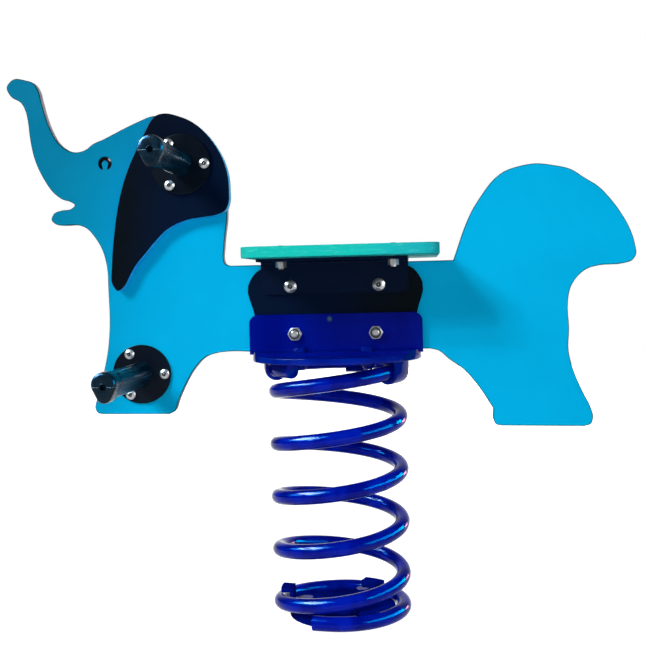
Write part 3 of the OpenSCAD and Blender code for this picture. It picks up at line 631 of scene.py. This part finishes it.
def chip_mask(tree, spot, height):
    place = add(tree, "Mapping", Vector=spot, Location=-CHIP_AT).outputs["Vector"]
    off = add(tree, "SeparateXYZ", Vector=place).outputs
    squares = math_of(tree, "ADD", *(math_of(tree, "POWER", off[way], 2.0) for way in "XZ"))
    uneven = math_of(tree, "MULTIPLY", height, CHIP_RAGGED)
    ragged = math_of(tree, "ADD", math_of(tree, "SQRT", squares), uneven)
    return step_down(tree, ragged, CHIP_R, CHIP_R + CHIP_FADE)


def gloss_paint(name, deep, bright, peel_size, run_size, depth, specks=0.3, chipped=False):
    finish, tree, shader, spot = new_finish(name)
    flaws = use_group(tree, paint, Vector=spot, Peel_Size=peel_size, Run_Size=run_size)
    tone = between(tree, flaws["Pool"], deep, bright)
    tone = between(tree, math_of(tree, "MULTIPLY", flaws["Speck"], specks), tone, rgb(0.01, 0.09, 0.55))
    if chipped:
        tone = between(tree, chip_mask(tree, spot, flaws["Height"]), tone, rgb(0.05, 0.1, 0.12))
    fill_named(tree, shader, Base_Color=tone, Roughness=0.4, Specular_IOR_Level=0.0, Coat_Weight=1.0,
               Coat_Roughness=0.1, Coat_IOR=1.15, Normal=bumped(tree, flaws["Height"], depth))
    return finish


wire_paint = gloss_paint("blue paint on the wire", rgb(0.0, 0.004, 0.23), rgb(0.0, 0.01, 0.38),
                         170.0, 40.0, 0.6 * MM)
plate_paint = gloss_paint("blue paint on the plate", rgb(0.0, 0.006, 0.195), rgb(0.0, 0.013, 0.29),
                          150.0, 30.0, 0.6 * MM)
# Painted highlight: a light blue paint for the bevel of the spring brackets, standing in for the light that
# their edges catch.
edge_highlight_paint = gloss_paint("painted highlight on the edges", rgb(0.0, 0.03, 0.3), rgb(0.12, 0.34, 0.8),
                         220.0, 60.0, 0.4 * MM)
bracket_paint = gloss_paint("blue paint on the brackets", rgb(0.0, 0.0035, 0.195), rgb(0.0, 0.006, 0.24),
                            140.0, 16.0, 0.35 * MM, specks=0.12, chipped=True)
flat_blue = board_finish("flat blue on the ground plate", rgb(0.0, 0.004, 0.15), rgb(0.0, 0.008, 0.22),
                         0.6, 0.0, 300.0, 20.0)

# %% Black coat and moulded black
TEAL_REFLECTION_ENDS_FROM, TEAL_REFLECTION_ENDS_TO = 183 * MM, 187 * MM

powder_black = board_finish("black powder coat", rgb(0.0006, 0.003, 0.008), rgb(0.001, 0.0045, 0.012),
                            0.35, 0.1, 1400.0, 8.0, 0.08 * MM)
bracket_black = board_finish("black coat on the seat brackets", rgb(0.0002, 0.0048, 0.021),
                             rgb(0.0004, 0.006, 0.026), 0.4, 0.05, 1400.0, 8.0, 0.08 * MM)

moulded_black, tree, shader, spot = new_finish("moulded black")
drawn = add(tree, "Mapping", Vector=spot, Scale=(1.0, 0.06, 1.0)).outputs["Vector"]
marks = use_group(tree, grain, Vector=drawn, Grain_Size=420.0, Drift_Size=110.0)
tone = between(tree, marks["Drift"], rgb(0.0005, 0.012, 0.026), rgb(0.001, 0.022, 0.046))
# Painted reflection: the grip's body is tinted teal as the cyan board would show in it, and from these
# distances out the cap's end takes a plain dark tone.
out_to = math_of(tree, "ABSOLUTE", add(tree, "SeparateXYZ", Vector=spot).outputs["Y"])
tone = between(tree, step_up(tree, out_to, TEAL_REFLECTION_ENDS_FROM, TEAL_REFLECTION_ENDS_TO), tone, rgb(0.003, 0.012, 0.022))
fill_named(tree, shader, Base_Color=tone, Roughness=step_up(tree, marks["Drift"], 0.0, 1.0, 0.2, 0.3),
           Specular_IOR_Level=0.09, Normal=bumped(tree, marks["Drift"], 0.25 * MM))

seam_black, tree, shader, spot, marks = grained("seam of the mould", 400.0, 60.0)
tone = between(tree, marks["Drift"], rgb(0.04, 0.065, 0.085), rgb(0.075, 0.105, 0.13))
fill_named(tree, shader, Base_Color=tone, Roughness=0.5, Specular_IOR_Level=0.1)

# %% Steel and nylon
def turned_finish(name, mark_size, dark, light, depth=None, **sockets):
    """A finish with turned marks, and what is needed to change its other sockets."""
    finish, tree, shader, spot = new_finish(name)
    marks = use_group(tree, turned, Vector=spot, Mark_Size=mark_size)
    fill_named(tree, shader, Base_Color=between(tree, marks["Shade"], dark, light), **sockets)
    if depth:
        fill_named(tree, shader, Normal=bumped(tree, marks["Height"], depth))
    return finish, tree, shader, marks["Shade"]


bright_steel, tree, shader, shade = turned_finish(
    "turned stainless steel", 1600.0, rgb(0.33, 0.34, 0.35), rgb(0.46, 0.47, 0.48), 0.03 * MM, Metallic=0.8)
fill_named(tree, shader, Roughness=step_up(tree, shade, 0.0, 1.0, 0.3, 0.42))
nylon_ring, *_ = turned_finish(
    "dark nylon ring", 900.0, rgb(0.004, 0.006, 0.014), rgb(0.01, 0.014, 0.03), 0.05 * MM, Roughness=0.35)
# Painted shade: the socket of a button head is painted dark, as the shade inside it.
socket_shade_paint, *_ = turned_finish(
    "painted shade in a socket", 700.0, rgb(0.01, 0.012, 0.016), rgb(0.06, 0.065, 0.075), Metallic=0.5, Roughness=0.5)

# %% [markdown]
# ## The body panel
#
# The elephant is one board, cut out with a router that leaves a small rounded edge. On the copy, the faces in
# the two outer planes take the cyan skin, everything cut is painted pale grey as painted light, and the bevel
# is painted dark teal as painted shade. The eye is a slot that stops inside the board. The rounding around it
# keeps the skin, and all that lies deeper is painted near black as painted shade, with a painted glint.

# %% Body panel
PANEL_ROUTED = 1.2 * MM
EYE_AT, EYE_ROOM, EYE_RIM = Vector((-316.9, 0.0, 629.5)) * MM, 12.5 * MM, 1.1 * PANEL_ROUTED
SKIN, CUT_SIDE, EDGE_SHADE, SLOT = 0, 1, 2, 3
HAIR, SQUARE_ON = 0.05 * MM, 0.9
panel_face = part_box("body_panel")[1].y


def on_skin(face):
    return abs(abs(face.center.y) - panel_face) < HAIR and abs(face.normal.y) > SQUARE_ON


def at_eye(face):
    return (Vector((face.center.x, 0, face.center.z)) - EYE_AT).length < EYE_ROOM


panel = bench_copy("body_panel", "elephant_board")
give_finishes(panel, cyan_skin, pale_cut_side_light, painted_edge_shade, eye_slot_shade_and_glint)
# the cut sides take the pale grey painted light
paint_faces(panel, CUT_SIDE, lambda face: not on_skin(face))
paint_faces(panel, SLOT, lambda face: abs(face.normal.y) > SQUARE_ON and not on_skin(face))
# the bevel takes the painted dark teal shade
round_edges(panel, PANEL_ROUTED, 3, finish=EDGE_SHADE, clamp=False)
paint_faces(panel, SKIN, at_eye)
# the deeper faces of the eye take the painted shade and glint
paint_faces(panel, SLOT, lambda face: at_eye(face) and abs(face.center.y) < panel_face - EYE_RIM)
hand_over(panel, "panel_board", "body_panel")
print("elephant board:", len(panel.data.polygons), "faces")

# %% [markdown]
# ## Ears and reinforcing plates
#
# Both are thinner boards that lie flat on the panel, one on each side. An ear shows its blue core along the
# cut edge, brightened as painted light, so only its broad faces and its fine bevel are black. The reinforcing
# plates are black all through, and on both the black is tinted navy towards the middle of the rider as a
# painted reflection. Each side is a copy of its own CAD node, with its own mesh.

# %% Ears and reinforcing plates
BOARD_ROUTED, EDGE_ON = 0.8 * MM, 0.5
SIDES = ("near", "far")

for side in SIDES:
    node = f"ear_{side}"
    ear = bench_copy(node, f"ear_board_{side}")
    give_finishes(ear, black_skin, blue_edge_with_painted_light)
    # cut edges take the blue core, brightened as painted light
    paint_faces(ear, CUT_SIDE, lambda face: abs(face.normal.y) < EDGE_ON)
    round_edges(ear, BOARD_ROUTED, 2, finish=SKIN)
    hand_over(ear, "black_board", node)

    node = f"reinforcing_plate_{side}"
    plate = bench_copy(node, f"reinforcing_board_{side}")
    give_finishes(plate, black_skin)
    round_edges(plate, BOARD_ROUTED, 2)
    hand_over(plate, "black_board", node)
print("ears and reinforcing plates: 2 of each")

# %% [markdown]
# ## The seat
#
# The seat is a thick board with round corners that a child sits on, so its edge is rounded the most. Its two
# broad faces carry the skin, and the edge shows the saw.

# %% Seat
SEAT_ROUTED = 2.5 * MM

seat = bench_copy("seat_board", "seat_plank")
give_finishes(seat, turquoise_skin, sawn_edge)
paint_faces(seat, CUT_SIDE, lambda face: abs(face.normal.z) < EDGE_ON)
round_edges(seat, SEAT_ROUTED, 4, finish=CUT_SIDE)
hand_over(seat, "seat_board", "seat_board")
print("seat:", [round(side / MM) for side in seat.dimensions])

# %% [markdown]
# ## Brackets, plate, hooks and flanges
#
# These are cut from steel plate and bent, then painted, so their edges are only slightly round. Along the
# edges of the spring brackets a pale line of light is painted: their bevel of about a millimetre takes a
# light blue paint of its own, a painted highlight. The other parts wear one coat all over.

# %% Steel parts
STEEL_ROUNDED, BEVEL_SLOT = 0.9 * MM, 1
STATIONS = ("hand", "foot")
steel_parts = [
    ("blue_steel", bracket_paint, [f"spring_bracket_{side}" for side in SIDES]),
    ("blue_steel", plate_paint, ["top_plate"] + [f"spring_hook_{at}" for at in ("right", "rear", "left")]),
    ("blue_steel", flat_blue, ["ground_plate"] + [f"ground_clamp_{at}" for at in ("right", "left", "front")]),
    ("black_steel", bracket_black, [f"seat_bracket_{side}" for side in SIDES]),
    ("black_steel", powder_black, [f"{station}_flange_{side}" for station in STATIONS for side in SIDES]),
]
for slot, finish, nodes in steel_parts:
    for node in nodes:
        part = bench_copy(node, f"{node}_painted")
        # the spring brackets' bevel takes the painted highlight; other parts keep their own coat there
        give_finishes(part, finish, edge_highlight_paint if finish is bracket_paint else finish)
        round_edges(part, STEEL_ROUNDED, 3, finish=BEVEL_SLOT)
        hand_over(part, slot, node)
    print(finish.name, "on", len(nodes), "parts")

# %% [markdown]
# ## Bolts and nuts
#
# A lock nut is a bright hexagon with a round collar that holds a dark nylon ring, and the bolt's domed end
# stands out of it. The groups of bolts and nuts are copies of the CAD groups with fine bevels. On a nut, the
# flat ring at the outer end is the nylon: it is found as the faces that look along the nut's axis at its far
# end. A button head has a hexagon socket with a pin in its middle, so that only the right key fits, and the
# socket is painted dark as painted shade: the six-sided floor of each socket is found, and a pin is inset and
# pulled out of it. The nuts under the seat are plain, so one is made from a six-sided cylinder and copied to
# the other three places.

# %% Hexagon bolts and lock nuts
FASTENER_ROUNDED, BOLT_END_ROUND = 0.35 * MM, 1.6 * MM
ROUND_SIDES, ALONG, END_ROOM = 12, 0.99, 0.1 * MM
METAL, RING = 0, 1
UP, NEAR, FAR = Vector((0, 0, 1)), Vector((0, -1, 0)), Vector((0, 1, 0))
hexagon_groups = {"ground_clamp_bolts": True, "bracket_plate_bolts": True, "lower_panel_bolts": False}
nut_groups = {"bracket_plate_nuts": -UP, "lower_panel_nuts": NEAR, "upper_panel_nuts": FAR,
              "hand_flange_nuts": FAR, "foot_flange_nuts": FAR}

for node, painted in hexagon_groups.items():
    bolts = bench_copy(node, f"{node}_turned")
    give_finishes(bolts, plate_paint if painted else bright_steel)
    if not painted:
        edit_faces(bolts, lambda face: len(face.vertices) > ROUND_SIDES and face.normal.dot(NEAR) > ALONG)
        bpy.ops.mesh.bevel(offset=BOLT_END_ROUND, segments=4, affect="EDGES")
        leave_edit()
    round_edges(bolts, FASTENER_ROUNDED, 2)
    hand_over(bolts, "blue_steel" if painted else "stainless", node)

for node, outward in nut_groups.items():
    nuts = bench_copy(node, f"{node}_turned")
    painted = node == "bracket_plate_nuts"
    give_finishes(nuts, plate_paint if painted else bright_steel, nylon_ring)
    top = max(point.co.dot(outward) for point in nuts.data.vertices) - END_ROOM
    paint_faces(nuts, RING, lambda face: face.normal.dot(outward) > SQUARE_ON
                and face.center.dot(outward) > top)
    round_edges(nuts, FASTENER_ROUNDED, 2, finish=METAL)
    hand_over(nuts, "blue_steel" if painted else "stainless", node)
print("hexagon and nut groups:", len(hexagon_groups) + len(nut_groups))

# %% Button heads with a pin in the socket
SOCKET, SOCKET_SHARE = 1, 0.35
SOCKET_LOW, SOCKET_HIGH = -0.1 * MM, 4 * MM
PIN_SHARE, PIN_OUT = 0.45, 1.6 * MM
button_groups = {"upper_panel_bolts": (NEAR, 10 * MM), "hand_flange_bolts": (NEAR, 8 * MM),
                 "foot_flange_bolts": (NEAR, 8 * MM), "seat_bolts": (UP, 8 * MM)}


def socket_floors(bolts, outward):
    return [face.center.copy() for face in bolts.data.polygons
            if len(face.vertices) == 6 and face.normal.dot(outward) > ALONG]


def in_socket(face, floors, outward, reach):
    for floor_at in floors:
        step = face.center - floor_at
        rise = step.dot(outward)
        if SOCKET_LOW < rise < SOCKET_HIGH and (step - rise * outward).length < reach:
            return True
    return False


for node, (outward, thread) in button_groups.items():
    bolts = bench_copy(node, f"{node}_turned")
    give_finishes(bolts, bright_steel, socket_shade_paint)
    floors = socket_floors(bolts, outward)
    socket_r = SOCKET_SHARE * thread
    # the socket's faces are painted dark as painted shade; the pin's top goes back to bright steel below
    paint_faces(bolts, SOCKET, lambda face: in_socket(face, floors, outward, socket_r))
    round_edges(bolts, FASTENER_ROUNDED, 2)
    edit_faces(bolts, lambda face: any((face.center - place).length < END_ROOM for place in floors))
    bpy.ops.mesh.inset(thickness=(1 - PIN_SHARE) * socket_r, use_individual=True)
    bpy.ops.mesh.extrude_region_move(TRANSFORM_OT_translate={"value": outward * PIN_OUT})
    leave_edit()
    paint_faces(bolts, METAL, lambda face: face.select)
    hand_over(bolts, "stainless", node)
    print(node, "sockets:", len(floors))

# %% Plain nuts under the seat
SEAT_NUT_AF, NUT_CHAMFER = 13.0 * MM, 0.8 * MM
nut_low, nut_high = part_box("seat_nuts")
corner = SEAT_NUT_AF / math.sqrt(3)
first = Vector((nut_low.x + corner, nut_low.y + SEAT_NUT_AF / 2, (nut_low.z + nut_high.z) / 2))
bpy.ops.object.select_all(action="DESELECT")
bpy.ops.mesh.primitive_cylinder_add(vertices=6, radius=corner, depth=nut_high.z - nut_low.z, location=first,
                                    rotation=(0, 0, math.pi / 2))
bpy.ops.object.transform_apply(location=True, rotation=True, scale=True)
nuts = bpy.context.object
nuts.name = "seat_nuts_turned"
give_finishes(nuts, bright_steel)
edit_faces(nuts, lambda face: face.normal.z < -SQUARE_ON)
bpy.ops.mesh.inset(thickness=NUT_CHAMFER, depth=0.0)
for shift in ((nut_low.x + nut_high.x - 2 * first.x, 0, 0), (0, nut_low.y + nut_high.y - 2 * first.y, 0)):
    bpy.ops.mesh.select_all(action="SELECT")
    bpy.ops.mesh.duplicate_move(TRANSFORM_OT_translate={"value": shift})
leave_edit()
round_edges(nuts, FASTENER_ROUNDED, 2)
hand_over(nuts, "stainless", "seat_nuts")
print("plain nuts:", len(nuts.data.polygons), "faces in four nuts")

# %% [markdown]
# ## The coil spring
#
# The spring is one round wire, wound into a bit over four and a half open turns with a flat turn at each end.
# A Screw modifier would wind an even helix, but this one eases into its flat ends, so the wire's middle line
# is worked out point by point and a curve with a round bevel thickens it. The spring bends over two joints:
# rock, in its lower half, and sway, in its upper half. A piece can bend across one joint only, so the wire is
# made as two tubes that meet on one ring at mid height.

# %% Line of the wire
WIRE_R = 10.0 * MM
COIL_R = 85.0 * MM
WIRE_CLEAR = 0.5 * MM
OPEN_TURNS = 4.575
BOTTOM_EASE, TOP_EASE = 90.0, 150.0
CLIMB_START = 140.0
BOTTOM_END_GAP, TOP_END_GAP = 1.5 * MM, 3.0 * MM
SAWN, NUDGE = 1.0 * MM, 0.5
spring_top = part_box("top_plate")[0].z

wire_low = WIRE_R + WIRE_CLEAR
wire_high = spring_top - WIRE_CLEAR - WIRE_R
climb = (wire_high - wire_low) / (OPEN_TURNS * 360)
climb_end = CLIMB_START + OPEN_TURNS * 360
straight_end = math.degrees(2 * WIRE_R / COIL_R)
wire_from = CLIMB_START + (2 * WIRE_R + BOTTOM_END_GAP) / climb - 360 + straight_end
wire_to = climb_end - (2 * WIRE_R + TOP_END_GAP) / climb + 360 - straight_end


def wire_height(angle):
    ease_in, climb_from = CLIMB_START - BOTTOM_EASE / 2, CLIMB_START + BOTTOM_EASE / 2
    climb_to, ease_out = climb_end - TOP_EASE / 2, climb_end + TOP_EASE / 2
    if angle <= ease_in:
        return wire_low
    if angle <= climb_from:
        return wire_low + climb * (angle - ease_in) ** 2 / (2 * BOTTOM_EASE)
    if angle <= climb_to:
        return wire_low + climb * (angle - CLIMB_START)
    if angle <= ease_out:
        return wire_high - climb * (ease_out - angle) ** 2 / (2 * TOP_EASE)
    return wire_high


def wire_point(angle):
    turn = math.radians(angle)
    return Vector((COIL_R * math.cos(turn), COIL_R * math.sin(turn), wire_height(angle)))


def wire_line(first, last, step=4.0):
    count = math.ceil((last - first) / step)
    return [wire_point(first + (last - first) * i / count) for i in range(count + 1)]


def straight_tail(angle, way):
    """The point one wire diameter beyond an end of the coil, less the sawn end."""
    run = (wire_point(angle + NUDGE) - wire_point(angle - NUDGE)).normalized()
    return wire_point(angle) + way * (2 * WIRE_R - SAWN) * run


print("wire from", round(wire_from), "to", round(wire_to), "degrees")

# %% Two tubes of wire
WIRE_WELD, MID_RAISED = 0.001 * MM, 14 * MM
mid_height = (wire_low + wire_high) / 2 + MID_RAISED
mid_angle = CLIMB_START + (mid_height - wire_low) / climb


def wire_tube(name, line, radius=WIRE_R, roundness=6):
    curve = bpy.data.curves.new(name, "CURVE")
    curve.dimensions = "3D"
    curve.bevel_depth = radius
    curve.bevel_resolution = roundness
    curve.use_fill_caps = True
    spline = curve.splines.new("POLY")
    spline.points.add(len(line) - 1)
    for point, place in zip(spline.points, line):
        point.co = (*place, 1.0)
    tube = bpy.data.objects.new(name, curve)
    bpy.context.scene.collection.objects.link(tube)
    pick(tube)
    bpy.ops.object.convert(target="MESH")
    tube = bpy.context.object
    bpy.ops.object.mode_set(mode="EDIT")
    bpy.ops.mesh.select_all(action="SELECT")
    bpy.ops.mesh.remove_doubles(threshold=WIRE_WELD)
    bpy.ops.mesh.normals_make_consistent(inside=False)
    leave_edit()
    return tube


lower = wire_tube("coil_spring_lower", [straight_tail(wire_from, -1)] + wire_line(wire_from, mid_angle))
upper = wire_tube("coil_spring_upper", wire_line(mid_angle, wire_to) + [straight_tail(wire_to, 1)])
print("wire tubes:", len(lower.data.polygons), "and", len(upper.data.polygons), "faces")

# %% Sawn ends
# each step as (inwards, outwards), so that the sawn end is slightly domed
SAWN_STEPS = ((0.3 * MM, 0.7 * MM), (0.7 * MM, 0.3 * MM))

for tube, end in ((lower, straight_tail(wire_from, -1)), (upper, straight_tail(wire_to, 1))):
    edit_faces(tube, lambda face: len(face.vertices) > 4 and (face.center - end).length < MM)
    for inward, outward in SAWN_STEPS:
        bpy.ops.mesh.inset(thickness=inward, depth=outward)
    leave_edit()
    bpy.ops.object.shade_smooth_by_angle(angle=SMOOTH_UNDER)
    give_finishes(tube, wire_paint)
    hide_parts("coil_spring")
    tinted.objects.link(tube)
    wire_only.objects.link(tube)

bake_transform(lower)
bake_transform(upper)
print("spring meets at", round(mid_height / MM), "mm")

# %% [markdown]
# ## The grips
#
# Hand grips and foot rests are the same black moulding: a bell-shaped collar at the flange, a body with
# shallow flutes, and a thicker cap with a vent hole. Its section is a pear, a round back over a narrower
# belly. A pear is the outline round two circles, so a circle is drawn first, and every point below the line
# where the two outlines part is shrunk to the belly's radius and moved down. The ring is then pulled out
# along the grip, stop by stop, and scaled at each stop. A revolved shape would be round, and a sculpted one
# would need many strokes.

# %% Sizes of a grip
BACK_R, BELLY_R = 13.5 * MM, 8.0 * MM
GRIP_H, GRIP_RISE = 34.0 * MM, 2.7 * MM
CAP_LIP = 2.5
BELLY_DROP = GRIP_H - BACK_R - BELLY_R
PART_LINE = (BACK_R - BELLY_R) / BELLY_DROP
RING_POINTS = 48
# stops as (millimetres from the flange, millimetres proud of the body), and the same from the outer end
COLLAR_STOPS = [(0, 1.5), (3, 1.45), (6, 1.1), (9, 0.5), (13, 0.0), (22, 0.0)]
CAP_STOPS = [(40, 0.0), (31, 0.0), (29, 0.8), (27.6, 2.1), (25.5, CAP_LIP), (6, CAP_LIP), (3.4, 2.1),
             (1.7, 1.0), (0.8, -0.8), (0.5, -2.8)]
FACE_IN = 0.5 * MM
print("pear section", round(GRIP_H / MM), "mm high,", len(COLLAR_STOPS) + len(CAP_STOPS), "stops")


# %% A pear ring at the flange
def pear_ring(name, axis, start):
    bpy.ops.object.select_all(action="DESELECT")
    middle = Vector((axis.x, start, axis.z + GRIP_RISE))
    bpy.ops.mesh.primitive_circle_add(vertices=RING_POINTS, radius=BACK_R, location=middle,
                                      rotation=(math.pi / 2, 0, 0))
    ring = bpy.context.object
    ring.name = name
    bpy.ops.object.transform_apply(location=True, rotation=True, scale=True)
    edit_points(ring, lambda place: place.z < middle.z - BACK_R * PART_LINE)
    shrink = BELLY_R / BACK_R
    bpy.ops.transform.resize(value=(shrink, 1, shrink), center_override=middle)
    bpy.ops.transform.translate(value=(0, 0, -BELLY_DROP))
    leave_edit()
    return ring


print("a pear ring has", RING_POINTS, "points")


# %% Pulling the ring out along the grip
def all_stops(long):
    return [(stop * MM, lip * MM) for stop, lip in COLLAR_STOPS] + [
        (long - stop * MM, lip * MM) for stop, lip in CAP_STOPS]


def pull_out(ring, axis, start, end):
    way = math.copysign(1.0, end - start)
    middle_z = axis.z + GRIP_RISE + BACK_R - GRIP_H / 2
    edit_points(ring, lambda place: True)
    at, proud = 0.0, 0.0
    for along, lip in all_stops(abs(end - start)):
        if along > at:
            bpy.ops.mesh.extrude_region_move(TRANSFORM_OT_translate={"value": (0, way * (along - at), 0)})
        grow_x = (BACK_R + lip) / (BACK_R + proud)
        grow_z = (GRIP_H / 2 + lip) / (GRIP_H / 2 + proud)
        bpy.ops.transform.resize(value=(grow_x, 1, grow_z),
                                 center_override=(axis.x, start + way * along, middle_z))
        at, proud = along, lip
    leave_edit()


print("a ring can be pulled out over", len(all_stops(1.0)), "stops")

# %% Flutes along the body
FLUTES, FLUTE_HALF = (20, 55, 90, 125, 160), 7.5
FLUTE_SPAN = (0.2, 0.7)
FLUTE_RIM, FLUTE_DEPTH = 0.5 * MM, 1.0 * MM


def press_flutes(grip, axis, start, end):
    first, last = sorted(start + (end - start) * share for share in FLUTE_SPAN)

    def in_flute(face):
        turn = math.degrees(math.atan2(face.center.z - axis.z - GRIP_RISE, face.center.x - axis.x))
        return first < face.center.y < last and any(abs(turn - flute) < FLUTE_HALF for flute in FLUTES)

    edit_faces(grip, in_flute)
    bpy.ops.mesh.inset(thickness=FLUTE_RIM, depth=-FLUTE_DEPTH, use_even_offset=True)
    leave_edit()


print("flutes at", FLUTES, "degrees")

# %% Closing the root and sinking the vent
VENT_R, RIM_IN, RIM_WIDER = 3.75 * MM, 0.15 * MM, 1.4 * MM
# stops as (millimetres outwards, millimetres wider than the vent)
VENT_STOPS = [(0.5, 1.0), (0.0, 0.4), (-0.8, 0.0), (-14.0, 0.0)]


def close_ends(grip, axis, start, end):
    way = math.copysign(1.0, end - start)
    edit_points(grip, lambda place: abs(place.y - start) < HAIR)
    bpy.ops.mesh.edge_face_add()
    face_y = end - way * FACE_IN
    rim_y, rim_r = face_y - way * RIM_IN, VENT_R + RIM_WIDER
    hole = Vector((axis.x, rim_y, axis.z))
    bpy.ops.mesh.primitive_circle_add(vertices=RING_POINTS, radius=rim_r, location=hole,
                                      rotation=(math.pi / 2, 0, 0))
    edit_points(grip, lambda place: min(abs(place.y - face_y), abs(place.y - rim_y)) < HAIR)
    bpy.ops.mesh.bridge_edge_loops()
    edit_points(grip, lambda place: abs(place.y - rim_y) < HAIR)
    for shift, wider in VENT_STOPS:
        radius = VENT_R + wider * MM
        bpy.ops.mesh.extrude_region_move(TRANSFORM_OT_translate={"value": (0, way * shift * MM, 0)})
        bpy.ops.transform.resize(value=(radius / rim_r, 1, radius / rim_r), center_override=hole)
        rim_r = radius
    bpy.ops.mesh.edge_face_add()
    bpy.ops.mesh.select_all(action="SELECT")
    bpy.ops.mesh.normals_make_consistent(inside=False)
    leave_edit()


print("vent", round(2 * VENT_R / MM, 1), "mm wide")

# %% Seam of the mould
SEAM_R, SEAM_SUNK, SEAM_CLEAR = 0.45 * MM, 0.3 * MM, 1.2 * MM


def mould_seam(name, axis, start, end, side):
    """A thin bead along one side of the grip, over the cap and across its end to the vent."""
    way = math.copysign(1.0, end - start)
    half = math.sqrt(BACK_R ** 2 - GRIP_RISE ** 2)
    line = [(half + lip, start + way * (along - SEAM_SUNK)) for along, lip in all_stops(abs(end - start))]
    line.append((VENT_R + SEAM_CLEAR, end - way * (FACE_IN + SEAM_SUNK)))
    seam = wire_tube(name, [Vector((axis.x + side * out, y, axis.z)) for out, y in line], SEAM_R, 2)
    give_finishes(seam, seam_black)
    return seam


print("seam", round(2 * SEAM_R / MM, 1), "mm thick")

# %% The four grips
GRIP_SMOOTH = math.radians(40)

for station in STATIONS:
    for side in SIDES:
        node = f"{station}_grip_{side}"
        low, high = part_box(node)
        start, end = (high.y, low.y) if side == "near" else (low.y, high.y)
        axis = Vector(((low.x + high.x) / 2, 0, high.z - GRIP_RISE - BACK_R - CAP_LIP * MM))
        grip = pear_ring(f"{node}_moulded", axis, start)
        pull_out(grip, axis, start, end)
        press_flutes(grip, axis, start, end)
        close_ends(grip, axis, start, end)
        seams = [mould_seam(f"{node}_seam", axis, start, end, turn) for turn in (-1, 1)]
        give_finishes(grip, moulded_black)
        pick(grip)
        for seam in seams:
            seam.select_set(True)
        bpy.ops.object.join()
        bpy.ops.object.shade_smooth_by_angle(angle=GRIP_SMOOTH)
        hand_over(grip, "grip_rubber", node)
        print(node, "faces:", len(grip.data.polygons))

# %% [markdown]
# ## Sizes and hand-over
#
# The looks must not change the object's size, so the box of the CAD model and the box of the dressed model
# are written side by side before the frame is closed.

# %% Sizes and hand-over
low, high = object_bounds()
